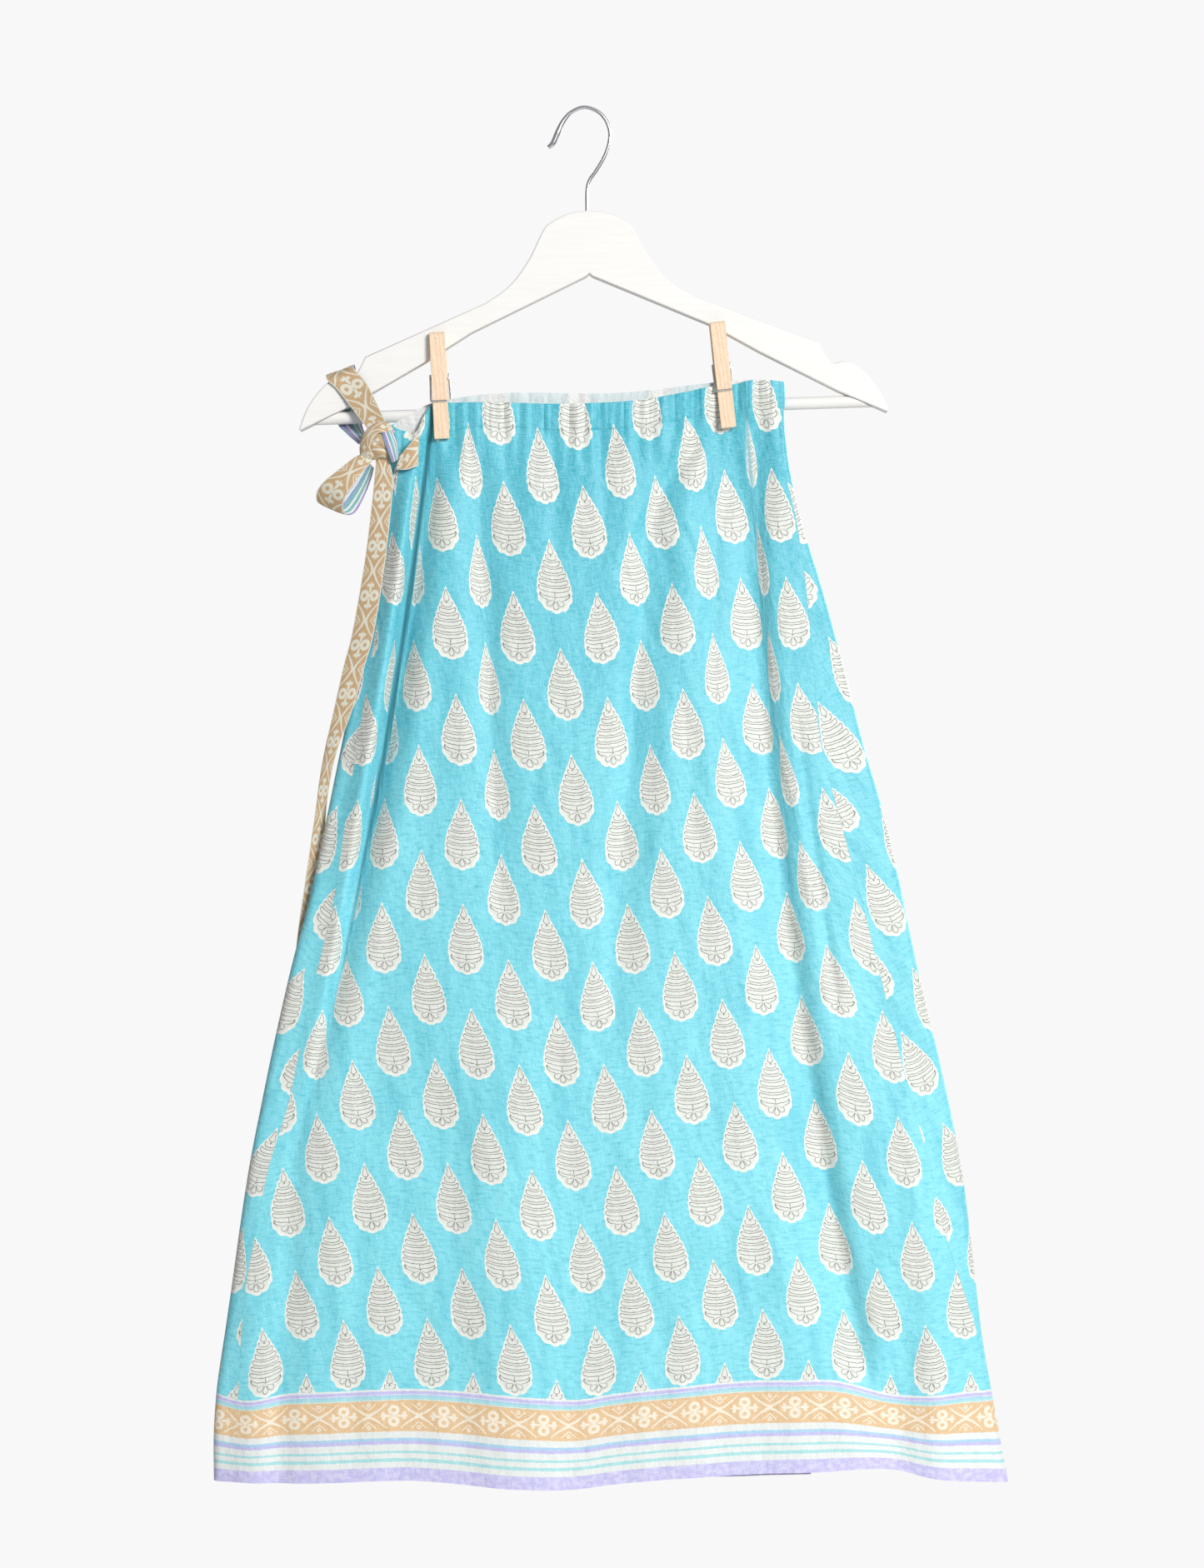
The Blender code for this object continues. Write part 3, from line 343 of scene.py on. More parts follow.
TIE_BOW_RIGHT = table(
    Strap,
    (-133.2, -21.5, -255.0, -135.8, -21.5, -264.8),
    (-126.8, -22.6, -247.5, -127.8, -22.6, -265.0),
    (-120.8, -21.6, -240.5, -121.3, -21.6, -262.5),
    (-119.4, -19.8, -239.5, -120.0, -19.8, -261.5),
    (-121.3, -18.0, -241.0, -121.8, -18.0, -261.5),
    (-127.8, -17.4, -248.0, -128.8, -17.4, -262.5),
    (-133.8, -17.6, -254.5, -134.8, -17.6, -263.5),
)
TIE_KNOT_WRAP = table(
    Strap,
    (-147.5, -21.4, -234.6, -140.5, -19.8, -233.0),
    (-145.5, -24.8, -242.0, -137.5, -22.6, -238.5),
    (-143.0, -25.0, -249.0, -135.0, -22.6, -245.5),
    (-140.5, -23.6, -255.5, -134.4, -21.4, -251.5),
    (-139.0, -20.8, -260.0, -134.0, -19.6, -256.6),
)
KNOT_ROLL = table(
    Strap,
    (-141.0, -20.5, -231.5, -136.5, -20.5, -238.5),
    (-147.5, -23.5, -230.4, -146.2, -25.5, -238.5),
    (-155.0, -23.5, -234.0, -149.8, -26.0, -240.0),
    (-160.2, -22.0, -241.0, -153.2, -25.5, -244.5),
    (-162.4, -20.0, -249.5, -154.5, -24.5, -249.5),
    (-160.6, -18.0, -256.5, -152.5, -22.5, -253.5),
    (-152.5, -17.5, -257.5, -147.5, -21.5, -254.5),
)
TIE_TAIL = table(
    Strap,
    (-151.5, -15.5, -247.0, -141.5, -15.5, -247.4),
    (-151.0, -17.0, -259.0, -140.5, -17.0, -259.4),
    (-152.0, -16.5, -271.0, -138.5, -16.8, -271.0),
    (-154.0, -15.5, -290.0, -139.5, -16.6, -290.0),
    (-159.0, -14.5, -330.0, -144.0, -17.0, -330.0),
    (-168.0, -14.0, -382.0, -152.0, -17.6, -382.0),
    (-174.5, -13.5, -407.0, -159.0, -16.4, -407.0),
    (-182.0, -12.0, -440.0, -168.5, -14.4, -440.0),
    (-188.0, -10.0, -466.0, -178.5, -12.4, -466.0),
    (-192.5, -7.5, -490.0, -184.6, -8.0, -490.0),
    (-196.0, -4.0, -515.0, -188.4, -0.6, -515.0),
    (-201.5, -0.5, -550.0, -189.5, 2.6, -550.0),
    (-207.5, 1.2, -590.0, -193.0, 3.6, -590.0),
    (-211.0, 2.4, -620.0, -197.0, 4.2, -620.0),
    (-212.0, 3.8, -640.0, -199.0, 4.6, -640.0),
)
KNOT_CENTRE = (-149.0, -18.2, -246.0)
KNOT_RADII = (11.5, 7.0, 12.0)
KNOT_FINE = (64, 40)
KNOT_ROLLS = 3
KNOT_ROLL_DEPTH = 0.09
KNOT_SLANT = (0.6, 0.8)

# Hanger: the right half of its outline from the dome's top, and the same mirrored
HANGER_TOP = (2.2, -75.0)
HANGER_TILT = math.radians(1.85)
HANGER_THICK = 12.0
HANGER_ROUND = 2.0
HANGER_STEPS = 6
HANGER_SHOULDER = table(
    Edge, (0, 0), (13, -1.4), (26.5, -7.5), (33, -14), (43.5, -34), (58, -52.5), (76, -64.8),
)
HANGER_END = table(
    Edge, (165, -101.2), (169.4, -109.5), (175, -116.6), (182.5, -115.4), (190, -117.2),
    (199, -124.6), (208.5, -137.4), (215, -152.6),
)
HANGER_UNDERSIDE = table(Edge, (213.5, -153.4), (178, -137), (122.4, -107), (87, -86))
HANGER_APEX = table(Edge, (2.0, -47.6), (0, -45.4))
BAR_RADIUS = 4.5
BAR_HEIGHT = -144.7
BAR_GAP = 0.84
BAR_SIDES = 48

# Hook: the route of its wire from the ball tip to the wood
WIRE_RADIUS = 1.3
HOOK_BALL = (1.2, 1.5, 1.6, 1.3, 1.05)
HOOK_STEPS = 9
HOOK_SIDES = 16
HOOK_ROUTE = table(
    Edge, (-25.9, -27.9), (-22.5, -24.6), (-19.3, -17.3), (-15.5, -9.3), (-9.6, -2.5),
    (-0.2, WIRE_RADIUS), (9.2, -1.4), (15.4, -7.3), (18.7, -16.0), (18.2, -25.0), (15.0, -34.2),
    (9.2, -44.4), (4.0, -52.0), (2.2, -60.0), (2.2, -74.6),
)


# Print: places across and up the cloth, from a line that its columns lean along and from the
# border's top line
DROP_ACROSS = 61.0
DROP_DOWN = 75.1
DROP_FIRST = 10.15
DROP_LONG = 51.0
DROP_HALF = 13.5
DROP_BELLY = 37.0
DROP_ROUND = 12.8
DROP_SIDES = (
    (0.0, 0.0), (3.6, 1.5), (7.2, 3.1), (11.2, 5.2), (15.1, 6.9), (19.0, 8.5), (22.9, 10.2),
    (26.7, 11.4), (32.6, 12.6), (37.0, 12.8), (51.0, 11.5),
)
RUNG = 4.45
RUNG_FIRST = 13.3
RUNG_HALF = 1.42
RUNG_SMILE = 3.0
RUNG_START = RUNG_FIRST - 1.2
RUNG_END = RUNG_FIRST + 5.5 * RUNG
RUNG_LOOK = 2.0
RUNG_INSET = 2.7
SCALLOPS = 5.5
SCALLOP_FIRST = 3.4
SCALLOP_DEEP = 0.6
SHAPE_FROM = 0.45
FIELD_FROM = 2.0
TIP_FROM = 2.2
TIP_LONG = 6.4
TIP_WIDE = 0.33
TOP_DOT = 11.6
SIDE_DOTS = 37.6
STEM_FROM = 37.2
FLOWER_AT = 42.0
LEAF_AT = 40.9
LEAF_HALF = 10.6
PETAL_LONG = 4.9
PETAL_WIDE = 0.4
PETAL_TURN = 56.0
LINE_HALF = 0.24
PRINT_RISE = 4.3
PRINT_RISE_OVER = 594.6
BORDER_TO_WAIST = 700.0
# The ground is painted darker and deeper towards the waist as painted shade: the power and share
# of that darkening, where it starts, and how much random clouds add to it
TOP_SHADE_POWER = 2.6
TOP_SHADE_SHARE = 0.72
TOP_SHADE_FROM = 0.2
CLOUD_SHARE = 0.5
MOTTLE_WIDE = 8.0
MOTTLE_HIGH = 2.2
STREAK_WIDE = 15.0
STREAK_HIGH = 120.0
HAND_SCALE = 0.35
HAND_SHAKE = 1.1
FOLD_SWALLOW = 3.0
# How far deep folds darken the ground, as painted shade
FOLD_SHADE = 0.9

# Where a pattern from 0 to 1 starts to draw one colour towards another, and how fast
Blend = namedtuple("Blend", "start gain")
MOTTLE = Blend(0.47, 2.0)
STREAKS = Blend(0.48, 1.6)
DEEP_THREADS = Blend(-0.43, 2.6)
PALE_THREADS = Blend(0.42, 1.9)
BORDER_THREADS = Blend(0.42, 1.1)
TIE_THREADS = Blend(0.40, 1.4)
ORNAMENT = 36.5
ORNAMENT_FIRST = 2.5
TAN_MIDDLE = 18.5
BORDER_DEEP = 66.0
BORDER_FROM = 0.9
LAVENDER_FROM = 0.853
ORNAMENT_REACH = 10.4
BORDER_TOP = table(
    Edge, (-268, -937), (-250, -941), (-213, -935.7), (-177, -933.3), (-122, -930.8),
    (-77, -932.7), (-31, -936.3), (-1, -937.5), (18, -934.2), (70, -928.4), (112, -924.8),
    (148, -924.2), (184, -925.4), (200, -929.6), (216, -934.5), (294, -934.5),
)
PRINT_LINE = table(Edge, (41, -900), (26.5, -795), (-6.3, -495), (-22.1, -342), (-37, -200))
BACK_LINE = 12.0
SLOPE_STEP = 5
LEAN_FROM = 10
LEAN_OVER = 90
TIE_WIDTH = 18.0
STRAP_PER_ROW = 10
STRAP_COLUMNS = 12

# Studio, in metres: the soft light all round, the key light, the light from behind, the floor
# and the camera
FILL_STRENGTH = 0.31
KEY_WATTS = 345
KEY_PLACE = (2.9, -5.2, 1.5)
KEY_AIM = (0.0, 0.0, -0.5)
KEY_SIZE = 1.7
BACK_WATTS = 190
BACK_PLACE = (4.2, 4.6, 1.0)
BACK_SIZE = 2.6
FLOOR_RADIUS = 2.6
FLOOR_HEIGHT = -1.9
CAMERA_LENS = 81.8
CAMERA_PLACE = (0.0131, -2.6, -0.4925)

# Threads: lengths and thickness of the slubs, the weave's pitch and its relief
SLUB_LONG = 7.0
SLUB_THICK = 0.55
THREAD = 0.42
WEAVE_RELIEF = 0.16

# The cloth's fine crumpling: its size across and down, and how many times the weave's relief
CRUMPLE = (17.0, 30.0, 15.0)

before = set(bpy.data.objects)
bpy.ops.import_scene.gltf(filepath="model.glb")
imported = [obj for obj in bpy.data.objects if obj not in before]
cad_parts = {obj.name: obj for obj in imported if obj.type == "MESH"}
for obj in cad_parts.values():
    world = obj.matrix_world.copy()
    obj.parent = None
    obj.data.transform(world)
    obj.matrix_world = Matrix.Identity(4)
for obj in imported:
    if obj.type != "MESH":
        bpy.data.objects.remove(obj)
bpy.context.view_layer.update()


def smooth_curve(at, knots, values):
    """Values at these places on a smooth curve through the knots, which rise."""
    knots = np.asarray(knots, float)
    values = np.asarray(values, float)
    slopes = np.gradient(values, knots)
    at = np.clip(at, knots[0], knots[-1])
    first = np.clip(np.searchsorted(knots, at, side="right") - 1, 0, len(knots) - 2)
    step = knots[first + 1] - knots[first]
    t = (at - knots[first]) / step
    return (
        values[first] * (1 + 2 * t) * (1 - t) ** 2
        + values[first + 1] * t * t * (3 - 2 * t)
        + slopes[first] * step * t * (1 - t) ** 2
        - slopes[first + 1] * step * t * t * (1 - t)
    )


def level(height, column):
    """A column of LEVELS at this height."""
    return smooth_curve(height, [r.height for r in LEVELS], [getattr(r, column) for r in LEVELS])


def edge_height(across, edge):
    """The height of an edge such as a rim or hem above or below this place across."""
    return smooth_curve(across, [r.across for r in edge], [r.height for r in edge])


def ease(value):
    """0 below 0, 1 above 1 and a smooth step between."""
    value = np.clip(value, 0, 1)
    return value * value * (3 - 2 * value)


def soft_limit(value, most):
    """The value, eased off as it nears the most that it may be."""
    most = np.maximum(most, LEAST_ROOM)
    rest = 1 - EASE_FROM
    over = value - most * EASE_FROM
    return np.where(over > 0, most * (EASE_FROM + rest * np.tanh(over / (most * rest))), value)


def three_point(row, z):
    """Where a line through a row's top, middle and end is at a height."""
    a, b, c = row.top_z, row.middle_z, row.end_z
    return (
        row.top_x * (z - b) * (z - c) / ((a - b) * (a - c))
        + row.middle_x * (z - a) * (z - c) / ((b - a) * (b - c))
        + row.end_x * (z - a) * (z - b) / ((c - a) * (c - b))
    )


def fold_depth(x, z, folds):
    """How far these folds move the cloth into the skirt at a place."""
    total = np.zeros_like(x)
    for f in folds:
        line = three_point(f, z)
        away = (x - line) / np.where(x < line, f.left, f.right)
        strength = ease((f.top_z - z) / f.fade_in) * ease((z - f.end_z) / f.fade_out)
        total += f.depth * strength * np.exp(-away * away)
    return total


def tuck_depth(x, z, seam):
    """The elastic's small tucks, strongest on the band."""
    wave = np.zeros_like(x)
    for t in TUCKS:
        wander = t.drift * np.sin(x / TUCK_WANDER + t.offset)
        wave += t.depth * np.sin(2 * np.pi * x / t.spacing + wander)
    return wave * (1 - ease((seam - z) / TUCK_FADE))


def band_tuck_depth(x, z, seam):
    """The narrow tucks across the waistband."""
    total = np.zeros_like(x)
    for t in BAND_TUCKS:
        away = (x - t.across) / t.width
        total += t.depth * np.exp(-away * away) * (1 - ease((seam - z) / t.run))
    return total


def hidden_cloth(x, z):
    """How much cloth has gone out of sight in folds to the left of a place."""
    total = np.zeros_like(x)
    for h in HIDDEN:
        line = three_point(h, z)
        strength = ease((z - h.end_z) / h.fade_out)
        total += h.cloth * strength * ease((x - line) / h.width + 0.5)
    return total


def pinch_depth(x, z):
    """How far the pegs press the front back onto the bar."""
    total = np.zeros_like(x)
    for peg in PEGS:
        middle = peg.bottom_x + (peg.top_x - peg.bottom_x) * PINCH_SHARE
        across = np.exp(-(((x - middle) / PINCH_WIDTH) ** 4))
        total += across * (1 - ease((peg.bottom_z - z) / PINCH_FADE))
    return PINCH_DEPTH * total


def skirt_surface(lap, drop):
    """Places in millimetres on the outer face of the skirt's tube."""
    lap = np.mod(np.asarray(lap, float), 6.0)
    drop = np.asarray(drop, float)
    front = lap < 3
    fold_back = np.where(front, lap, 6 - lap)
    quarter = np.where(fold_back < 1, fold_back, np.where(fold_back > 2, 3 - fold_back, 1.0))
    angle = quarter * np.pi / 2
    share = np.clip(fold_back - 1, 0, 1)
    height = np.full_like(lap, MIDDLE_LEVEL)
    for _ in range(HEIGHT_ROUNDS):
        left = level(height, "left")
        right = level(height, "right")
        edge = level(height, "edge")
        inset = edge * (1 - np.cos(angle))
        x = np.where(
            fold_back < 1,
            left + inset,
            np.where(
                fold_back > 2,
                right - inset,
                left + edge + (right - left - 2 * edge) * share,
            ),
        )
        rim = np.where(front, edge_height(x, FRONT_RIM), edge_height(x, BACK_RIM))
        seam = np.where(front, edge_height(x, FRONT_SEAM), edge_height(x, BACK_SEAM))
        hem = np.where(front, edge_height(x, FRONT_HEM), edge_height(x, BACK_HEM))
        height = np.where(drop < 0, seam - (rim - seam) * drop, seam + (hem - seam) * drop)
    cap = np.sin(angle)
    across = (x - left) / (right - left)
    arch = 1 - np.abs(2 * across - 1) ** ARCH_POWER
    bulge = np.where(front, level(height, "front"), level(height, "back"))
    out = edge * cap + (bulge - edge) * arch
    room = cap * ease((np.minimum(x - left, right - x) + EDGE_PLAY) / EDGE_CALM)
    into_back = fold_depth(x, height, BACK_FOLDS + BACK_CREASES)
    into_front = fold_depth(x, height, FRONT_FOLDS + FRONT_CREASES) + pinch_depth(x, height)
    into = np.where(front, into_front, into_back)
    tucks = tuck_depth(x, height, seam) + band_tuck_depth(x, height, seam)
    tucks = tucks * np.where(front, 1.0, BACK_TUCKS)
    behind = edge * cap + (level(height, "back") - edge) * arch - into_back * room
    floor = np.minimum(CLOTH_ROOM - behind, out)
    into = np.where(front, soft_limit(into * room, out - floor), into * room)
    out = out - into - tucks * cap
    y = level(height, "middle") + np.where(front, -out, out)
    return np.stack([x, y, height], axis=-1)


def skirt_normals(lap, drop):
    """Unit vectors that point out of the skirt."""
    step = NORMAL_STEP
    along = skirt_surface(lap + step, drop) - skirt_surface(lap - step, drop)
    down = skirt_surface(lap, drop + step) - skirt_surface(lap, drop - step)
    out = np.cross(down, along)
    return out / np.linalg.norm(out, axis=-1, keepdims=True)


def lap_at(x, height, column):
    """The lap on the front at this place across, which may be on the rounded edge."""
    edge = level(height, "edge")
    left = level(height, "left")
    right = level(height, "right")
    inset = x - left if column == "left_seam" else right - x
    flat = 1 + (inset - edge) / (right - left - 2 * edge)
    curved = np.arccos(np.clip(1 - inset / edge, -1, 1)) / (np.pi / 2)
    lap = np.where(inset < edge, curved, flat)
    return lap if column == "left_seam" else 3 - lap


def seam_lap(drop, column, move):
    """The lap of a side seam at each drop, moved across by a few tenths of a millimetre."""
    seam = edge_height(level(WAIST_LEVEL, column), FRONT_SEAM)
    hem = edge_height(level(HEM_LEVEL, column), FRONT_HEM)
    height = seam + (hem - seam) * drop
    return lap_at(level(height, column) + move, height, column)


def arcs(points):
    """How far along its row each point lies."""
    steps = np.linalg.norm(np.diff(points, axis=1), axis=-1)
    return np.concatenate([np.zeros((len(points), 1)), np.cumsum(steps, axis=1)], axis=1)


def drops(rows):
    """Drops of the rows of cloth, from just under the waist seam, closer together near it."""
    share = np.linspace(0, 1, rows + 1)
    first = WAIST_GAP / SKIRT_LENGTH
    return first + (1 - first) * (ROWS_EVEN * share + (1 - ROWS_EVEN) * share * share)


def grid_faces(rows, columns):
    """Quads of a grid of points counted row by row."""
    first = np.arange(rows - 1)[:, None] * columns + np.arange(columns - 1)
    first = first.reshape(-1)
    return np.stack([first, first + columns, first + columns + 1, first + 1], axis=1)


def rim_faces(rows, columns):
    """Quads that join the borders of a grid and of its copy behind."""
    behind = rows * columns
    row = np.arange(columns - 1)
    column = np.arange(rows - 1) * columns
    last = (rows - 1) * columns
    end = columns - 1
    other = column + end
    last = last + row
    quads = (
        (row, row + 1, row + 1 + behind, row + behind),
        (last, last + behind, last + 1 + behind, last + 1),
        (column, column + behind, column + columns + behind, column + columns),
        (other, other + columns, other + columns + behind, other + behind),
    )
    return np.concatenate([np.stack(corners, axis=1) for corners in quads])


def shell(name, outer, inner, cloth, near, far, node, slot):
    """A closed sheet between two grids of points, with cloth places as its print's map."""
    rows, columns = outer.shape[:2]
    count = rows * columns
    front = grid_faces(rows, columns)
    faces = np.concatenate([front, front[:, ::-1] + count, rim_faces(rows, columns)])
    points = np.concatenate([outer.reshape(-1, 3), inner.reshape(-1, 3)]) * MM
    mesh = bpy.data.meshes.new(name)
    mesh.from_pydata(points.tolist(), [], faces.tolist())
    corners = faces.reshape(-1)
    width = cloth.shape[-1]
    places = np.tile(cloth.reshape(-1, width), (2, 1))
    mesh.uv_layers.new(name="cloth")
    mesh.uv_layers["cloth"].data.foreach_set("uv", (places[corners, :2] * MM).reshape(-1))
    # The fold map: how deep in a fold each place lies, which swallows the print and sets its
    # painted shade.
    deep = np.zeros((len(corners), 2))
    deep[:, 0] = places[corners, 2] if width > 2 else 0.0
    mesh.uv_layers.new(name="fold")
    mesh.uv_layers["fold"].data.foreach_set("uv", deep.reshape(-1))
    mesh.materials.append(near)
    mesh.materials.append(far)
    index = np.zeros(len(faces), np.int32)
    index[len(front):2 * len(front)] = 1
    mesh.polygons.foreach_set("material_index", index)
    mesh.shade_smooth()
    mesh.set_sharp_from_angle(angle=CLOTH_SHARP)
    thing = added(name, mesh)
    finish_piece(thing, slot, node)
    return thing


def added(name, data):
    """A new object of this mesh, curve, light or camera, in the scene."""
    thing = bpy.data.objects.new(name, data)
    bpy.context.scene.collection.objects.link(thing)
    return thing


def finish_piece(thing, slot, *nodes):
    """Puts the piece on the one body, in place of these nodes; its slot is not used."""
    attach(thing, "root")
    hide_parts(*nodes)


def even_laps(first, last, drop, share):
    """Laps at these shares of the cloth between two laps of each row of the front."""
    height = FRONT_SEAM[0].height + (FRONT_HEM[0].height - FRONT_SEAM[0].height) * drop
    edge = level(height, "edge")
    turn = edge * math.pi / 2
    flat = level(height, "right") - level(height, "left") - 2 * edge
    rows = []
    for ends, bend, width in zip(zip(first, last), turn, flat):
        cloth = (0, bend, bend + width, 2 * bend + width)
        start, stop = np.interp(ends, range(4), cloth)
        rows.append(np.interp(start + (stop - start) * share, cloth, range(4)))
    return np.array(rows)


def front_grid(share, rows):
    """Laps and drops of the front panel at these shares of its width, from seam to seam."""
    drop = drops(rows)
    first = seam_lap(drop, "left_seam", SEAM_GAP / 2)
    last = seam_lap(drop, "right_seam", -SEAM_GAP / 2)
    lap = even_laps(first, last, drop, share)
    return lap, np.broadcast_to(drop[:, None], lap.shape)


def above_border(points):
    """Height of each point over the top of the printed border, and below it down to the hem."""
    top = edge_height(points[..., 0], BORDER_TOP)
    hem = edge_height(points[..., 0], FRONT_HEM)
    above = points[..., 2] - top
    return np.where(above > 0, above, BORDER_DEEP * above / (top - hem))


def front_cloth(points):
    """Print places of the front, across from a leaning line and up, and what folds swallow and
    darken with painted shade.
    """
    along = arcs(points)
    place = np.empty(points.shape[:2] + (3,))
    for row, (line, length) in enumerate(zip(points, along)):
        height = np.mean(line[:, 2])
        heights = [a.height for a in PRINT_LINE]
        anchor = smooth_curve(height, heights, [a.across for a in PRINT_LINE])
        hidden = hidden_cloth(line[:, 0], line[:, 2])
        place[row, :, 2] = ease((np.gradient(hidden, length) - FOLD_FROM) / FOLD_OVER)
        cloth = length + hidden
        place[row, :, 0] = cloth - np.interp(anchor, line[:, 0], cloth)
    place[..., 1] = above_border(points)
    return place


def make_front():
    """The wrap's outer layer, from side seam to side seam."""
    lap, drop = front_grid(np.linspace(0, 1, FRONT_COLUMNS + 1), FRONT_ROWS)
    outer = skirt_surface(lap, drop)
    inner = outer - skirt_normals(lap, drop) * CLOTH_WALL
    thing = shell("skirt_front_cloth", outer, inner, front_cloth(outer), PRINT, INSIDE,
                  "skirt_front", "turquoise_print")


def make_underlap():
    """The wrap's inner layer, just behind the front, with its free edge to the right."""
    share = np.linspace(UNDERLAP_FROM, UNDERLAP_TO, UNDERLAP_COLUMNS + 1)
    lap, drop = front_grid(share, UNDERLAP_ROWS)
    normals = skirt_normals(lap, drop)
    more = UNDERLAP_GAP_HEM - UNDERLAP_GAP_TOP
    gap = UNDERLAP_GAP_TOP + more * ease(drop / UNDERLAP_GAP_LENGTH)
    outer = skirt_surface(lap, drop) - normals * (CLOTH_WALL + UNDERLAP_CLEAR)
    outer[..., 1] += gap
    peek = ease((outer[..., 0] - UNDERLAP_PEEK_FROM) / UNDERLAP_PEEK_OVER) * UNDERLAP_PEEK
    cloth = front_cloth(outer)
    outer[..., 2] -= peek * ease(drop)
    inner = outer - normals * CLOTH_WALL
    thing = shell("skirt_underlap_cloth", outer, inner, cloth, PRINT, INSIDE,
                  "skirt_underlap", "turquoise_print")


def strip_laps(seam):
    """Laps from a left seam to the rounded edge and round that edge to the back."""
    end = min(seam, 1.0)
    flat = np.linspace(seam, end, STRIP_COLUMNS + 1)[:-1] if seam > 1 else []
    count = EDGE_COLUMNS + (0 if seam > 1 else STRIP_COLUMNS)
    behind = np.linspace(0, -1, EDGE_COLUMNS + 1)[1:]
    return np.concatenate([flat, np.linspace(end, 0, count + 1), behind])


def back_laps(left, right):
    """Laps of one row of the back, from the left seam round the back to the right seam."""
    start = strip_laps(left)
    end = (3 - strip_laps(3 - right))[::-1] - 6
    return np.concatenate([start, np.linspace(-1, -2, BACK_COLUMNS + 1)[1:-1], end])


def back_cloth(lap, points):
    """Print places of the back, as if its strips in front were folded out flat beside it."""
    along = arcs(points)
    place = np.empty(points.shape[:2] + (2,))
    above = above_border(points)
    for row, (laps, line, length) in enumerate(zip(lap, points, along)):
        height = np.mean(line[:, 2])
        behind = (laps <= 0) & (laps >= -3)
        middle = np.interp(BACK_LINE, line[behind, 0], length[behind])
        across = length - middle
        up = above[row].copy()
        for column, edge_lap, side in (("left", 0.0, -1), ("right", -3.0, 1)):
            strip = laps > 0 if side < 0 else laps < -3
            edge = np.interp(-edge_lap, -laps, across)
            lower, upper = level(height - SLOPE_STEP, column), level(height + SLOPE_STEP, column)
            slope = side * (lower - upper) / (2 * SLOPE_STEP)
            turn = 2 * math.atan(slope)
            past = np.abs(across - edge)
            rise = np.sin(turn) * ease((above[row] - LEAN_FROM) / LEAN_OVER)
            across = np.where(strip, edge + np.sign(across - edge) * past * math.cos(turn), across)
            up = np.where(strip, up + past * rise, up)
        place[row, :, 0] = -across
        place[row, :, 1] = up
    return place


def make_back():
    """The back, which wraps round both edges to the side seams in front."""
    drop = drops(BACK_ROWS)
    left = seam_lap(drop, "left_seam", -SEAM_GAP / 2)
    right = seam_lap(drop, "right_seam", SEAM_GAP / 2)
    lap = np.array([back_laps(*ends) for ends in zip(left, right)])
    drop = np.broadcast_to(drop[:, None], lap.shape)
    outer = skirt_surface(lap, drop)
    inner = outer - skirt_normals(lap, drop) * CLOTH_WALL
    thing = shell("skirt_back_cloth", outer, inner, back_cloth(lap, outer), PRINT, INSIDE,
                  "skirt_back", "turquoise_print")


def make_band(node, first_lap, last_lap, puff):
    """Half of the elastic's casing, from one side edge to the other."""
    drop = np.linspace(-1, 0, BAND_ROWS + 1)
    gap = SEAM_GAP / 2 / (level(BAND_LEVEL, "edge") * math.pi / 2)
    turn = gap + (1 - gap) * np.linspace(0, 1, EDGE_COLUMNS + 1)
    flat = np.linspace(first_lap + 1, last_lap - 1, BAND_COLUMNS + 1)[1:-1]
    lap = np.concatenate([first_lap + turn, flat, last_lap - turn[::-1]])
    lap, drop = np.meshgrid(lap, drop)
    normals = skirt_normals(lap, drop)
    base = skirt_surface(lap, drop)
    swell = BAND_OUT + puff * np.sin(-np.pi * drop) ** PUFF_POWER
    outer = base + normals * swell[..., None]
    inner = base - normals * BAND_WALL
    place = front_cloth(outer)
    if first_lap > 2:
        place[..., 0] = arcs(outer)
    thing = shell(node + "_cloth", outer, inner, place, PRINT, INSIDE, node, "turquoise_print")


def smooth_route(rows, per_row):
    """Rows on a smooth curve through these, with so many steps from each to the next."""
    values = np.array(rows, float)
    knots = np.arange(len(values))
    at = np.linspace(0, len(values) - 1, (len(values) - 1) * per_row + 1)
    return np.stack([smooth_curve(at, knots, column) for column in values.T], axis=-1)


def make_strap(node, rows, near, far, crown=TIE_CROWN, ending="_cloth"):
    """A flat strap of two layers of cloth, a little raised along its middle."""
    edges = smooth_route(rows, STRAP_PER_ROW)
    first = edges[:, :3]
    last = edges[:, 3:]
    across = last - first
    along = np.gradient((first + last) / 2, axis=0)
    normal = np.cross(along, across)
    normal /= np.linalg.norm(normal, axis=1, keepdims=True)
    shares = np.linspace(0, 1, STRAP_COLUMNS + 1)
    line = first[:, None] + across[:, None] * shares[:, None]
    line = line + normal[:, None, :] * (crown * 4 * shares * (1 - shares))[None, :, None]
    thick = TIE_WALL * (1 - (1 - TIE_RIM) * np.abs(2 * shares - 1) ** TIE_RIM_POWER)
    half = normal[:, None, :] * (thick / 2)[None, :, None]
    length = arcs(((first + last) / 2)[None])[0]
    place = np.stack(np.broadcast_arrays(length[:, None], TIE_WIDTH * shares), axis=-1)
    thing = shell(node + ending, line + half, line - half, place, near, far, node, "strap_print")


def built(name, build, material, sharp=None):
    """An object of what was built, smooth but for edges sharper than this."""
    mesh = bpy.data.meshes.new(name)
    build.to_mesh(mesh)
    build.free()
    mesh.materials.append(material)
    mesh.shade_smooth()
    if sharp:
        mesh.set_sharp_from_angle(angle=sharp)
    return added(name, mesh)


def close_prism(build, first, second):
    """The faces of a prism between two rings of points."""
    build.faces.new(first)
    build.faces.new(second[::-1])
    for i in range(len(first)):
        j = (i + 1) % len(first)
        build.faces.new((first[i], second[i], second[j], first[j]))
    bmesh.ops.recalc_face_normals(build, faces=build.faces)


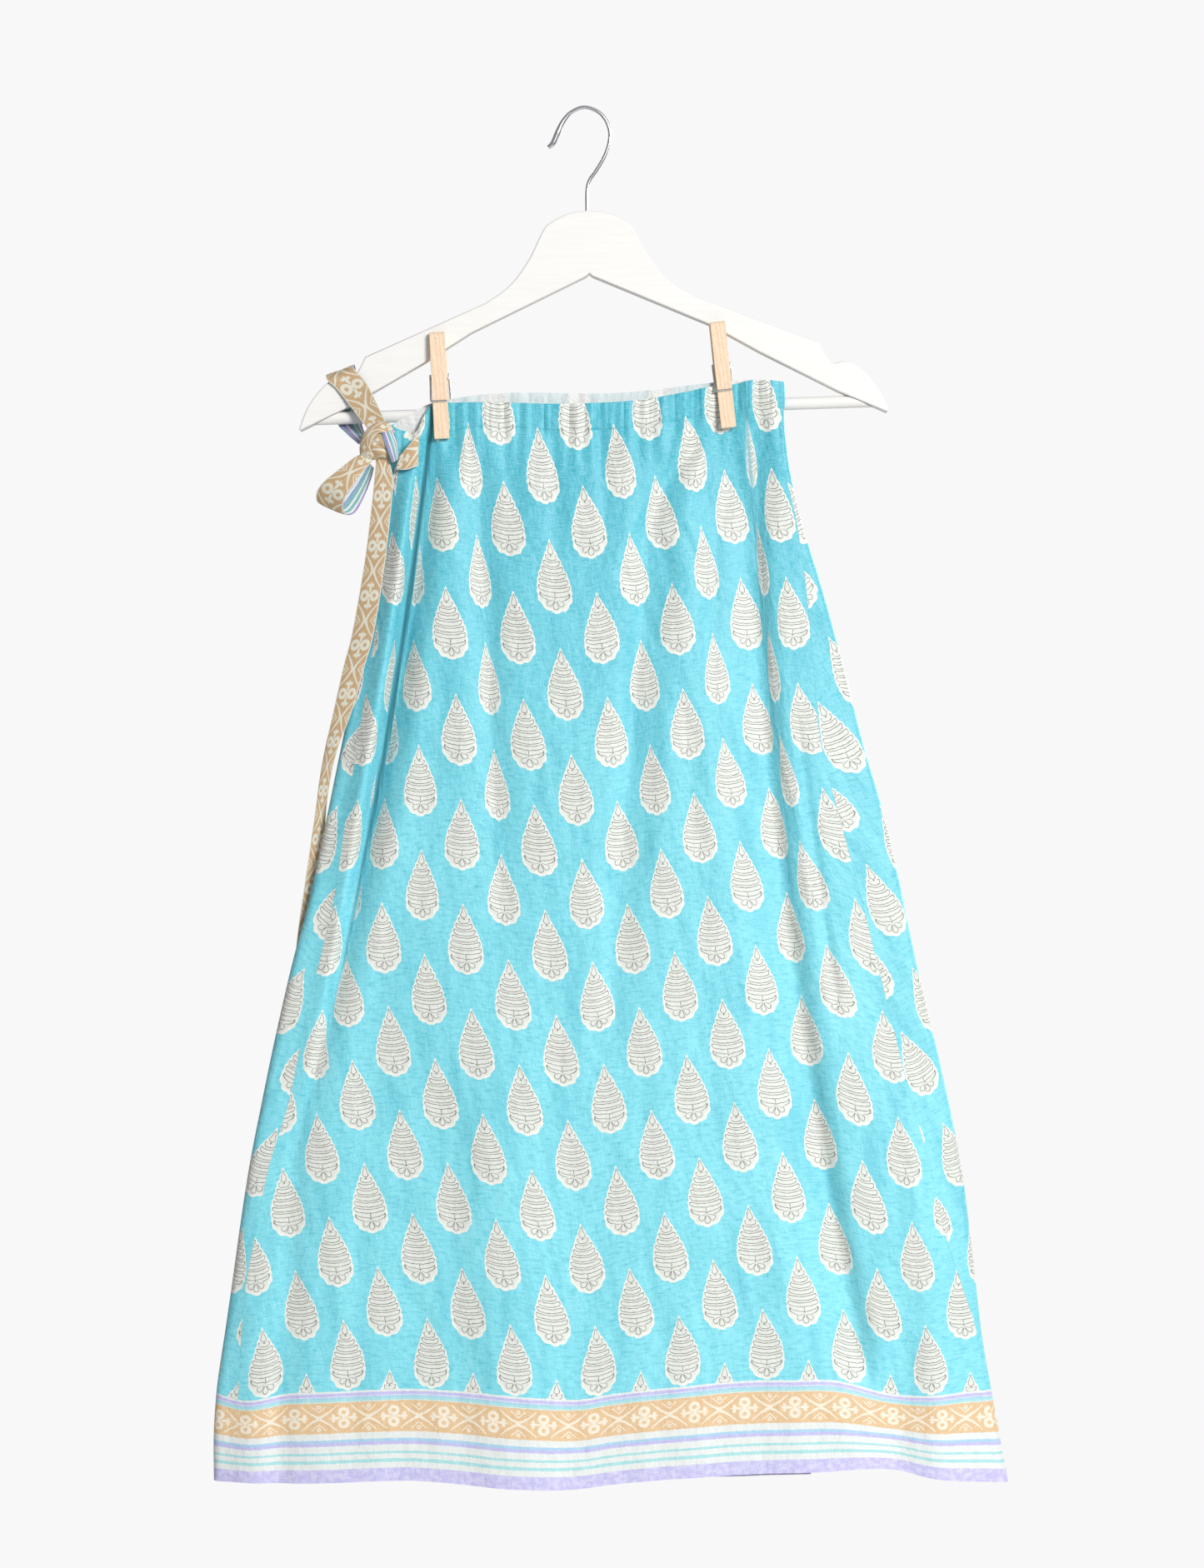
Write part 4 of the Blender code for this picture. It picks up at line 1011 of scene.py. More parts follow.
def make_knot():
    """The knot as a rounded lump with the rolls of the strap wound round it."""
    build = bmesh.new()
    sides, rings = KNOT_FINE
    bmesh.ops.create_uvsphere(build, u_segments=sides, v_segments=rings, radius=1.0)
    for vert in build.verts:
        x, y, z = vert.co
        slant = x * KNOT_SLANT[0] + z * KNOT_SLANT[1]
        roll = 1 + KNOT_ROLL_DEPTH * (abs(math.sin(slant * math.pi * KNOT_ROLLS / 2)) - 1)
        vert.co = [
            (c + p * r * roll) * MM for c, p, r in zip(KNOT_CENTRE, (x, y, z), KNOT_RADII)
        ]
    finish_piece(built("tie_knot_cloth", build, KNOT), "strap_print", "tie_knot")


def make_wire(node, points, radius, sides, ball=()):
    """A round wire along these points, with its first radii from ball."""
    curve = bpy.data.curves.new(node + "_wire", "CURVE")
    curve.dimensions = "3D"
    curve.bevel_depth = radius * MM
    curve.bevel_resolution = (sides - 4) // 2
    curve.use_fill_caps = True
    line = curve.splines.new("POLY")
    line.points.add(len(points) - 1)
    for index, place in enumerate(points):
        line.points[index].co = (*(np.array(place) * MM), 1.0)
        line.points[index].radius = ball[index] if index < len(ball) else 1.0
    curve.materials.append(CHROME)
    thing = added(node + "_wire", curve)
    finish_piece(thing, "chrome", node)
    return thing


def make_hook():
    """The hook's wire, thicker at its tip."""
    route = smooth_route([(p.across, 0.0, p.height) for p in HOOK_ROUTE], HOOK_STEPS)
    at = np.arange(len(HOOK_BALL) * HOOK_STEPS) / HOOK_STEPS
    ball = np.interp(at, np.arange(len(HOOK_BALL)), HOOK_BALL)
    make_wire("hanger_hook", route, WIRE_RADIUS, HOOK_SIDES, ball)


def extruded(node, outline, thickness, material, bevel, segments):
    """A board of this outline in its own XZ plane, centred on its own Y."""
    build = bmesh.new()
    back, front = (
        [build.verts.new((x * MM, side * thickness / 2 * MM, z * MM)) for x, z in outline]
        for side in (1, -1)
    )
    close_prism(build, back, front)
    thing = built(node + "_wood", build, material, WOOD_SHARP)
    rounding = thing.modifiers.new("rounded edges", "BEVEL")
    rounding.width = bevel * MM
    rounding.segments = segments
    rounding.limit_method = "ANGLE"
    rounding.angle_limit = ROUND_FROM
    rounding.harden_normals = True
    return thing


def place_on_hanger(thing):
    """Puts a piece drawn in the hanger's own frame where the tilted hanger hangs."""
    thing.location = (HANGER_TOP[0] * MM, 0.0, HANGER_TOP[1] * MM)
    thing.rotation_euler = (0.0, -HANGER_TILT, 0.0)


def make_hanger():
    """The wooden board, its two arms alike."""
    upper = [tuple(p) for p in smooth_route(HANGER_SHOULDER, HANGER_STEPS)]
    upper += [tuple(p) for p in smooth_route(HANGER_END, HANGER_STEPS)]
    half = upper + list(HANGER_UNDERSIDE) + list(HANGER_APEX)
    other = [(-x, z) for x, z in half[1:-1]][::-1]
    thing = extruded("hanger_wood", half + other, HANGER_THICK, PAINT, HANGER_ROUND, 5)
    place_on_hanger(thing)
    finish_piece(thing, "painted_wood", "hanger_wood")


def make_bar():
    """The round bar, its ends cut along the arms' undersides."""
    outer, inner = HANGER_UNDERSIDE[:2]
    slope = (outer.across - inner.across) / (outer.height - inner.height)
    build = bmesh.new()
    ends = []
    for side in (-1, 1):
        ring = []
        for i in range(BAR_SIDES):
            angle = 2 * math.pi * i / BAR_SIDES
            z = BAR_HEIGHT + BAR_RADIUS * math.sin(angle)
            x = inner.across + (z - inner.height) * slope - BAR_GAP
            place = (side * x * MM, BAR_RADIUS * math.cos(angle) * MM, z * MM)
            ring.append(build.verts.new(place))
        ends.append(ring)
    close_prism(build, *ends)
    thing = built("hanger_bar_wood", build, PAINT, WOOD_SHARP)
    place_on_hanger(thing)
    finish_piece(thing, "painted_wood", "hanger_bar")


def peg_leg(node, profile):
    """A leg of a peg, drawn from the side and as wide as the peg."""
    outline = [(p.depth, p.height) for p in profile]
    thing = extruded(node, outline, PEG_WIDTH, BIRCH, PEG_ROUND, 3)
    quarter_turn = np.array([[0, -1, 0], [1, 0, 0], [0, 0, 1]], float)
    for vert in thing.data.vertices:
        vert.co = quarter_turn @ np.array(vert.co)
    return thing


def spring_route():
    """The spring's wire: over the front leg, back to the coil, round it and over the back leg."""
    bend = SPRING_BEND
    out = SPRING_REACH
    low = SPRING_ARM_HEIGHT
    route = [
        (out - bend, SPRING_FRONT, low), (0.0, SPRING_FRONT, low), (bend - out, SPRING_FRONT, low),
        (-out, SPRING_FRONT + bend, low + bend),
        (-out, SPRING_FRONT_ARM[0], SPRING_HEIGHT + SPRING_FRONT_ARM[1]),
    ]
    steps = int(SPRING_TURNS * SPRING_STEPS)
    for i in range(steps + 1):
        angle = SPRING_START + 2 * math.pi * i / SPRING_STEPS
        route.append((
            out * (2 * i / steps - 1),
            SPRING_DEPTH + SPRING_COIL * math.cos(angle),
            SPRING_HEIGHT + SPRING_COIL * math.sin(angle),
        ))
    route += [
        (out, SPRING_BACK_ARM[0], SPRING_HEIGHT + SPRING_BACK_ARM[1]),
        (out, SPRING_BACK - bend, low + bend),
        (out - bend, SPRING_BACK, low), (0.0, SPRING_BACK, low), (bend - out, SPRING_BACK, low),
    ]
    return route


def make_peg(peg):
    """A sprung peg on the band and the bar: two legs and the spring, leaning with the cloth."""
    lean = math.atan2(peg.top_x - peg.bottom_x, peg.top_z - peg.bottom_z)
    for end, profile in (("front", PEG_FRONT_LEG), ("back", PEG_BACK_LEG)):
        node = f"peg_{peg.side}_{end}"
        piece = peg_leg(node, profile)
        place_peg(piece, peg, lean)
        finish_piece(piece, "birch", node)
    route = smooth_route(spring_route(), 3)
    spring = make_wire(f"peg_{peg.side}_spring", route, SPRING_WIRE, SPRING_SIDES)
    place_peg(spring, peg, lean)


def place_peg(piece, peg, lean):
    """Puts a piece drawn above the jaw's tip where its peg bites."""
    piece.location = (peg.bottom_x * MM, 0.0, peg.bottom_z * MM)
    piece.rotation_euler = (0.0, lean, 0.0)


def tint(red, green, blue):
    """A colour as a screen shows it, from 0 to 255, turned into the shader's own scale."""
    shares = np.array((red, green, blue)) / 255
    linear = np.where(shares < 0.04045, shares / 12.92, ((shares + 0.055) / 1.055) ** 2.4)
    return (*linear.tolist(), 1.0)


# Colours
# The deep turquoise serves both the ground's random deeper tone and the painted shade towards the
# waist
GROUND_DEEP_AND_SHADED = tint(22, 166, 188)
GROUND_PALE = tint(134, 223, 236)
GROUND_THREAD = tint(172, 236, 245)
# A dark turquoise painted into deep folds as painted shade
GROUND_FOLD_PAINTED_SHADE = tint(24, 112, 128)
RIM = tint(242, 241, 232)
FIELD = tint(226, 229, 221)
FIELD_WORN = tint(208, 216, 210)
LINES = tint(104, 95, 90)
TAN_PALE = tint(240, 229, 208)
BORDER_THREAD = tint(250, 248, 242)
CREAM = tint(226, 231, 229)
LAVENDER = tint(188, 184, 232)
LAVENDER_WORN = tint(218, 216, 242)
SKY = tint(160, 204, 232)
TEAL = tint(160, 218, 220)
TAN = tint(224, 187, 138)
STRIPE_SOFT = 0.003
TIE_STRIPE_SOFT = 0.012
BORDER_STRIPES = (
    (0.0, CREAM), (0.6, LAVENDER), (2.9, CREAM), (3.3, SKY), (4.8, TEAL), (6.8, CREAM),
    (7.3, TAN), (29.8, CREAM), (34.7, SKY), (36.8, LAVENDER), (39.2, CREAM), (44.1, TEAL),
    (45.9, CREAM), (49.6, TEAL), (52.0, CREAM), (56.3, LAVENDER),
)
INSIDE_WHITE = tint(232, 232, 230)
TIE_GROUND = tint(186, 154, 114)
TIE_PALE = tint(216, 216, 202)
# A dark brown painted into the knot's grooves as painted shade
KNOT_GROOVE_PAINTED_SHADE = tint(110, 78, 56)
TIE_THREAD = tint(226, 204, 170)
# The tie's teal, violet and blue: the border's own stripe hues, painted darker all over as painted
# shade
TIE_TEAL_SHADED = tint(100, 172, 180)
TIE_VIOLET_SHADED = tint(138, 128, 192)
TIE_BLUE_SHADED = tint(108, 152, 202)
TIE_STRIPE_COLOURS = (
    (0.0, TIE_TEAL_SHADED), (0.07, TIE_VIOLET_SHADED), (0.30, CREAM), (0.40, TIE_BLUE_SHADED), (0.50, TIE_TEAL_SHADED),
    (0.64, CREAM), (0.72, TIE_TEAL_SHADED), (0.84, CREAM), (0.92, TIE_VIOLET_SHADED),
)
PAINT_WHITE = tint(244, 243, 240)
PAINT_GREY = tint(232, 231, 228)
PAINT_WARM = tint(240, 234, 226)
BIRCH_PALE = tint(250, 226, 199)
BIRCH_DEEP = tint(232, 196, 158)
BIRCH_PORE = tint(168, 122, 82)
CHROME_PALE = tint(232, 233, 236)
CHROME_DEEP = tint(196, 198, 202)
FLOOR_DEEP = tint(243, 242, 240)
FLOOR_PALE = tint(249, 248, 246)
BACKGROUND = (0.945, 0.94, 0.945, 1.0)
FILL = (0.97, 0.985, 1.0, 1.0)


class Wire:
    """A value inside a material, joined to others by the usual signs."""

    def __init__(self, tree, socket):
        self.tree = tree
        self.socket = socket

    def math(self, operation, *others, clamp=False):
        node = self.tree.nodes.new("ShaderNodeMath")
        node.operation = operation
        node.use_clamp = clamp
        for index, value in enumerate((self, *others)):
            if isinstance(value, Wire):
                self.tree.links.new(value.socket, node.inputs[index])
            else:
                node.inputs[index].default_value = value
        return Wire(self.tree, node.outputs[0])

    def __add__(self, other):
        return self.math("ADD", other)

    def __sub__(self, other):
        return self.math("SUBTRACT", other)

    def __mul__(self, other):
        return self.math("MULTIPLY", other)

    def __truediv__(self, other):
        return self.math("DIVIDE", other)

    def __neg__(self):
        return self.math("MULTIPLY", -1.0)

    def __abs__(self):
        return self.math("ABSOLUTE")

    def wrap(self, half):
        return self.math("WRAP", half, -half)

    def most(self, other):
        return self.math("MAXIMUM", other)

    def least(self, other):
        return self.math("MINIMUM", other)

    def away(self, other):
        """How far a place is from the middle, where these two are its places along two axes."""
        return (self * self + other * other).math("SQRT")

    def under(self, edge, soft=0.3):
        """1 where this is under the edge and 0 over it, with a soft step between."""
        return self.math("MULTIPLY_ADD", -1 / soft, edge / soft + 0.5, clamp=True)

    def over(self, edge, soft=0.3):
        return self.math("MULTIPLY_ADD", 1 / soft, 0.5 - edge / soft, clamp=True)


def tinted(colour, pattern, blend, towards):
    """A colour drawn towards another where a pattern is over the blend's start."""
    return mixed((pattern - blend.start) * blend.gain, colour, towards)


def mixed(share, first, second):
    """A colour between two colours."""
    node = share.tree.nodes.new("ShaderNodeMix")
    node.data_type = "RGBA"
    share.tree.links.new(share.socket, node.inputs["Factor"])
    ends = [s for s in node.inputs if s.name in ("A", "B") and s.type == "RGBA"]
    for socket, colour in zip(ends, (first, second)):
        if isinstance(colour, Wire):
            share.tree.links.new(colour.socket, socket)
        else:
            socket.default_value = colour
    return Wire(share.tree, next(s for s in node.outputs if s.type == "RGBA"))


def curve_of(value, points):
    """A smooth curve through these points, both of whose numbers run from 0 to 1."""
    node = value.tree.nodes.new("ShaderNodeFloatCurve")
    curve = node.mapping.curves[0]
    curve.points[0].location = points[0]
    curve.points[1].location = points[-1]
    for point in points[1:-1]:
        curve.points.new(*point)
    node.mapping.update()
    value.tree.links.new(value.socket, node.inputs["Value"])
    return Wire(value.tree, node.outputs[0])


def striped(value, stripes, soft):
    """Colours of the stripes, each from its own place on, where a place runs from 0 to 1."""
    node = value.tree.nodes.new("ShaderNodeValToRGB")
    ramp = node.color_ramp
    stops = [(stripes[0][0], stripes[0][1])]
    for before, after in zip(stripes, stripes[1:]):
        stops += [(after[0] - soft, before[1]), (after[0] + soft, after[1])]
    ramp.elements[0].position, ramp.elements[0].color = stops[0][0], stops[0][1]
    ramp.elements[1].position, ramp.elements[1].color = stops[-1][0], stops[-1][1]
    for place, colour in stops[1:-1]:
        ramp.elements.new(place).color = colour
    value.tree.links.new(value.socket, node.inputs["Fac"])
    return Wire(value.tree, node.outputs["Color"])


def vector_of(x, y, z=0.0):
    node = x.tree.nodes.new("ShaderNodeCombineXYZ")
    for socket, value in zip(node.inputs, (x, y, z)):
        if isinstance(value, Wire):
            x.tree.links.new(value.socket, socket)
        else:
            socket.default_value = value
    return Wire(x.tree, node.outputs[0])


def noise(place, scale, detail=2.0, roughness=0.5):
    """Cloudy noise from 0 to 1, about 0.5."""
    node = place.tree.nodes.new("ShaderNodeTexNoise")
    node.inputs["Scale"].default_value = scale
    node.inputs["Detail"].default_value = detail
    node.inputs["Roughness"].default_value = roughness
    place.tree.links.new(place.socket, node.inputs["Vector"])
    return Wire(place.tree, node.outputs["Fac"])


def parts_of(place):
    node = place.tree.nodes.new("ShaderNodeSeparateXYZ")
    place.tree.links.new(place.socket, node.inputs[0])
    return [Wire(place.tree, socket) for socket in node.outputs]


def new_material(name, roughness, **numbers):
    """A material with its shader's even numbers set, and its node tree."""
    material = bpy.data.materials.new(name)
    material.use_nodes = True
    shader = material.node_tree.nodes["Principled BSDF"]
    shader.inputs["Roughness"].default_value = roughness
    for socket, value in numbers.items():
        shader.inputs[socket.replace("_", " ")].default_value = value
    return material, material.node_tree, shader


def cloth_place(tree):
    """Places across and up the cloth in millimetres, from its own map."""
    node = tree.nodes.new("ShaderNodeUVMap")
    node.uv_map = "cloth"
    across, up, _ = parts_of(Wire(tree, node.outputs["UV"]))
    return across * 1000.0, up * 1000.0


def fold_place(tree):
    """How deep in a fold the cloth is, from 0 to 1, from its own map."""
    node = tree.nodes.new("ShaderNodeUVMap")
    node.uv_map = "fold"
    return parts_of(Wire(tree, node.outputs["UV"]))[0]


def object_place(tree):
    node = tree.nodes.new("ShaderNodeTexCoord")
    return [part * 1000.0 for part in parts_of(Wire(tree, node.outputs["Object"]))]


def link(wire, shader, socket):
    wire.tree.links.new(wire.socket, shader.inputs[socket])


def bump(height, shader, distance, strength=1.0):
    """Fine relief, whose height is in millimetres times this distance."""
    node = height.tree.nodes.new("ShaderNodeBump")
    node.inputs["Distance"].default_value = distance * MM
    node.inputs["Strength"].default_value = strength
    height.tree.links.new(height.socket, node.inputs["Height"])
    height.tree.links.new(node.outputs["Normal"], shader.inputs["Normal"])


def thread_noise(u, v):
    """Slubs of the cloth's threads across and down it, from 0 to 1, and both together."""
    across = noise(vector_of(u / SLUB_LONG, v / SLUB_THICK), 1.0, 3.0)
    down = noise(vector_of(u / SLUB_THICK, v / SLUB_LONG), 1.0, 3.0)
    return across * 0.6 + down * 0.4


def weave_height(u, v, slubs):
    """Relief of a plain weave, with thicker threads here and there."""
    over = (u * (math.pi / THREAD)).math("SINE") * (v * (math.pi / THREAD)).math("SINE")
    return over * 0.12 + slubs


def drop_width(t):
    """Half the width of the drop-shaped motif at this length from its tip."""
    points = [(along / DROP_LONG, half / DROP_HALF) for along, half in DROP_SIDES]
    return curve_of(t / DROP_LONG, points) * DROP_HALF


def line(across, end, half):
    """The fine outline of a bar with round ends."""
    return abs(across.away(end) - half).under(LINE_HALF)


def drop_masks(u, v):
    """Where the motif's shape, the field inside its rim and its fine lines are, from 0 to 1."""
    half_u = DROP_ACROSS / 2
    half_v = DROP_DOWN / 2
    a = u.wrap(half_u)
    b = (v + DROP_FIRST).wrap(half_v)
    between = (abs(a) / half_u + abs(b) / half_v).over(1.0, 0.001)
    a = a - a.math("SIGN") * between * half_u
    b = b - b.math("SIGN") * between * half_v
    t = -b + DROP_LONG / 2
    side = abs(a)
    width = drop_width(t)
    low = t.over(DROP_BELLY, 0.02)
    angle = a.math("ARCTAN2", t - DROP_BELLY)
    round_end = (side / DROP_ROUND).away((t - DROP_BELLY).most(0.0) / (DROP_LONG - DROP_BELLY))
    below = -(round_end - 1.0) * DROP_ROUND + abs((angle * SCALLOPS).math("COSINE"))
    scallop = abs(((t + SCALLOP_FIRST) * (math.pi / RUNG)).math("COSINE")) * SCALLOP_DEEP
    beside = width - side + scallop
    inside = (beside + low * (below - beside)) * t.over(0.0, 0.1)
    shape = inside.over(SHAPE_FROM, 0.3)
    field = inside.over(FIELD_FROM, 0.6)

    bent = t + ((side / (width + 0.5)).least(1.2)).math("POWER", 2.0) * RUNG_SMILE
    nearest = ((bent - RUNG_FIRST) / RUNG).math("ROUND") * RUNG + RUNG_FIRST
    reach = drop_width(nearest - RUNG_LOOK) - RUNG_INSET
    end = (side - reach).most(0.0)
    rung = line(bent - nearest, end, RUNG_HALF)
    rungs = rung * bent.over(RUNG_START, 0.6) * bent.under(RUNG_END, 0.1)
    tip = (t - TIP_FROM).least(TIP_LONG).most(0.0) * TIP_WIDE
    tip_line = abs(side.away((t - TIP_FROM - TIP_LONG).most(0.0)) - tip).under(LINE_HALF)
    tip_line = tip_line * t.over(TIP_FROM + 0.2, 0.2)
    dots = side.away(t - TOP_DOT).under(0.6)
    dots = dots.most((side - LEAF_HALF).away(t - SIDE_DOTS).under(0.55))
    stem = side.under(LINE_HALF) * t.over(STEM_FROM, 0.2) * t.under(FLOWER_AT, 0.2)
    leaf = t - LEAF_AT + side * 0.4 - side * side * 0.06 + side * side * side * 0.0048
    upper = abs(leaf).under(LINE_HALF) * side.under(LEAF_HALF)
    under_leaf = (side / 10.9).away((t - 38.4) / 4.5)
    lower = abs(under_leaf - 1.0).under(LINE_HALF / 6, 0.05) * side.over(5.2) * t.over(38.0)
    petal_angle = a.math("ARCTAN2", t - FLOWER_AT)
    turned = petal_angle.wrap(math.radians(PETAL_TURN / 2))
    radius = side.away(t - FLOWER_AT)
    along = radius * turned.math("COSINE")
    across = radius * turned.math("SINE")
    half = along.least(PETAL_LONG).most(0.0) * PETAL_WIDE
    petal = abs(across.away((along - PETAL_LONG).most(0.0)) - half)
    petals = petal.under(LINE_HALF) * abs(petal_angle).under(math.radians(80), 0.03)
    petals = petals * along.over(1.0)
    lines = rungs.most(tip_line).most(dots).most(stem).most(upper).most(lower).most(petals)
    return shape, field, lines * shape


def ornament(x, y, reach):
    """Where the pale ornament of the tan stripe is: flowers, crossing bands and chevrons."""
    x = abs(x.wrap(ORNAMENT / 2))
    far = -(x - ORNAMENT / 2)
    y = abs(y)
    ring = (x / 1.15).away(y - 4.1)
    flower = ring.under(3.7) * ring.over(1.4)
    core = x.away(y).under(1.3)
    stem = ((x - 6.0) / 4.2).away(y / 1.05).under(1.0, 0.25)
    lobe = (x - 7.6).away(y - 1.8).under(1.3)
    bend = far * 0.35 + far * far * 0.024 + 0.5
    band = (abs(y - bend) + far * 0.05).under(1.15) * far.under(13.2)
    chevron = abs(y - far * 0.85 - 4.4).under(0.5) * far.under(5.2)
    spot = far.away(y - 8.2).under(1.5) * far.away(y - 8.2).over(0.6)
    whole = flower.most(core).most(stem).most(lobe).most(band).most(chevron).most(spot)
    return whole * y.under(reach)


def print_colour(u, v, fold):
    """The skirt's whole print: drops on a plain ground, and the striped border below, with painted
    shade darkening the ground towards the waist and in deep folds.
    """
    shake = vector_of(u, v)
    u_hand = u + (noise(shake, HAND_SCALE, 1.0) - 0.5) * HAND_SHAKE
    v_hand = v + (noise(vector_of(v, u, 40.0), HAND_SCALE, 1.0) - 0.5) * HAND_SHAKE
    lift = ((v.most(0.0) / PRINT_RISE_OVER).math("POWER", 6.0)) * PRINT_RISE
    shape, field, lines = drop_masks(u_hand, v_hand - lift)
    clouds = noise(shake, 0.012, 3.0)
    slubs = thread_noise(u, v)
    # Painted shade: the ground darkens towards the waist.
    top_shade = (v.most(0.0) / BORDER_TO_WAIST).math("POWER", TOP_SHADE_POWER)
    top_shade = top_shade * TOP_SHADE_SHARE + clouds * CLOUD_SHARE
    ground = mixed(top_shade.math("ADD", -TOP_SHADE_FROM, clamp=True), GROUND_PALE, GROUND_DEEP_AND_SHADED)
    mottle = noise(vector_of(u / MOTTLE_WIDE, v / MOTTLE_HIGH), 1.0, 3.0, 0.6)
    ground = tinted(ground, mottle, MOTTLE, GROUND_DEEP_AND_SHADED)
    streaks = noise(vector_of(u / STREAK_WIDE, v / STREAK_HIGH), 1.0, 2.0)
    ground = tinted(ground, streaks, STREAKS, GROUND_DEEP_AND_SHADED)
    ground = tinted(ground, -slubs, DEEP_THREADS, GROUND_DEEP_AND_SHADED)
    ground = tinted(ground, slubs, PALE_THREADS, GROUND_THREAD)
    motif = mixed(field, RIM, FIELD)
    motif = mixed(noise(shake, 0.25, 3.0) * 0.35, motif, FIELD_WORN)
    motif = mixed(lines * (noise(shake, 0.5, 2.0) * 0.5 + 0.62), motif, LINES)
    colour = mixed(shape * (-(fold * FOLD_SWALLOW).least(1.0) + 1.0), ground, motif)
    # Painted shade: deep folds darken the ground towards a dark turquoise.
    colour = mixed(fold * FOLD_SHADE, colour, GROUND_FOLD_PAINTED_SHADE)
    depth = (-v_hand) / BORDER_DEEP
    stripes = [(start / BORDER_DEEP, tone) for start, tone in BORDER_STRIPES]
    border = striped(depth.most(0.0), stripes, STRIPE_SOFT)
    pale = ornament(u_hand - ORNAMENT_FIRST, v_hand + TAN_MIDDLE, ORNAMENT_REACH)
    border = mixed(pale, border, TAN_PALE)
    worn = noise(shake, 0.22, 3.0).over(0.52, 0.2) * depth.over(LAVENDER_FROM, 0.004)
    border = mixed(worn * 0.6, border, LAVENDER_WORN)
    border = tinted(border, slubs, BORDER_THREADS, BORDER_THREAD)
    return mixed(v_hand.under(BORDER_FROM, 0.3), colour, border), slubs


def cloth_material(name, inside):
    """The printed cloth's face, or its inside, where the print only shows through."""
    material, tree, shader = new_material(
        name, 0.5, Sheen_Weight=0.13, Sheen_Roughness=0.35, Specular_IOR_Level=0.42,
    )
    u, v = cloth_place(tree)
    colour, slubs = print_colour(u, v, fold_place(tree))
    if inside:
        colour = mixed(slubs * 0.15 + 0.72, colour, INSIDE_WHITE)
    link(colour, shader, "Base Color")
    link(slubs * 0.35 + 0.28, shader, "Roughness")
    crumple = noise(vector_of(u / CRUMPLE[0], v / CRUMPLE[1]), 1.0, 4.0, 0.55)
    bump(weave_height(u, v, slubs) + crumple * CRUMPLE[2], shader, WEAVE_RELIEF)
    return material


def strap_material(name, stripes):
    """One face of the tie: the tan stripe with its ornament, or the stripes beside it."""
    material, tree, shader = new_material(
        name, 0.6, Sheen_Weight=0.2, Sheen_Roughness=0.4, Specular_IOR_Level=0.4,
    )
    along, across = cloth_place(tree)
    place = vector_of(along, across)
    hand = across + (noise(place, 0.3, 1.0) - 0.5) * 0.8
    slubs = thread_noise(along, across)
    if stripes:
        colour = striped(hand / TIE_WIDTH, TIE_STRIPE_COLOURS, TIE_STRIPE_SOFT)
    else:
        pale = ornament(along, hand - TIE_WIDTH / 2, 8.6)
        edge = abs(across - TIE_WIDTH / 2).over(8.35)
        colour = mixed(pale.most(edge), TIE_GROUND, TIE_PALE)
    finish_strap(shader, colour, slubs, along, across)
    return material


def finish_strap(shader, colour, slubs, along, across):
    """The pale threads, dullness and weave that all of the tie shares."""
    link(tinted(colour, slubs, TIE_THREADS, TIE_THREAD), shader, "Base Color")
    link(slubs * 0.35 + 0.42, shader, "Roughness")
    bump(weave_height(along, across, slubs), shader, WEAVE_RELIEF)


def knot_material():
    """The knot's rolls of tan strap, with painted shade in the grooves between them."""
    material, tree, shader = new_material(
        "knotted tie", 0.6, Sheen_Weight=0.2, Sheen_Roughness=0.4, Specular_IOR_Level=0.4,
    )
    x, _, z = object_place(tree)
    x = x - KNOT_CENTRE[0]
    z = z - KNOT_CENTRE[2]
    slant = x * KNOT_SLANT[0] + z * KNOT_SLANT[1]
    along = x * KNOT_SLANT[1] - z * KNOT_SLANT[0]
    slubs = thread_noise(slant, along)
    pale = ornament(along + 9.0, slant.wrap(9.0), 8.2)
    colour = mixed(pale, TIE_GROUND, TIE_PALE)
    roll = abs((slant * (math.pi * KNOT_ROLLS / 2 / KNOT_RADII[2])).math("SINE"))
    # Painted shade: the grooves between the rolls darken towards dark brown.
    colour = mixed(roll.under(0.25, 0.4) * 0.6, colour, KNOT_GROOVE_PAINTED_SHADE)
    finish_strap(shader, colour, slubs, along, slant)
    return material


def paint_material():
    """White satin paint with the brush's faint marks along the wood."""
    material, tree, shader = new_material("white paint", 0.42, Specular_IOR_Level=0.45)
    x, y, z = object_place(tree)
    marks = noise(vector_of(x / 26.0, y / 1.3, z / 1.6), 1.0, 4.0, 0.6)
    clouds = noise(vector_of(x, y, z), 0.02, 2.0)
    colour = mixed(marks, PAINT_GREY, PAINT_WHITE)
    colour = mixed(clouds * 0.4, colour, PAINT_WARM)
    link(colour, shader, "Base Color")
    link(marks * 0.3 + 0.27, shader, "Roughness")
    bump(marks, shader, 0.12)
    return material


def birch_material():
    """Bare birch, its grain along the leg, with fine pores and a darker streak or two."""
    material, tree, shader = new_material("bare birch", 0.55, Specular_IOR_Level=0.35)
    x, y, z = object_place(tree)
    sway = (noise(vector_of(x / 9.0, y / 9.0, z / 60.0), 1.0, 1.0) - 0.5) * 7.0
    rings = ((x + y * 0.7 + sway) * 1.7).math("SINE")
    grain = noise(vector_of(x / 0.5, y / 0.5, z / 16.0), 1.0, 3.0)
    pores = noise(vector_of(x / 0.16, y / 0.16, z / 3.0), 1.0, 2.0).over(0.66, 0.12)
    colour = mixed(rings * 0.22 + grain * 0.75, BIRCH_PALE, BIRCH_DEEP)
    colour = mixed(pores * 0.4, colour, BIRCH_PORE)
    link(colour, shader, "Base Color")
    link(grain * 0.3 + 0.4, shader, "Roughness")
    bump(grain - pores, shader, 0.08)
    return material


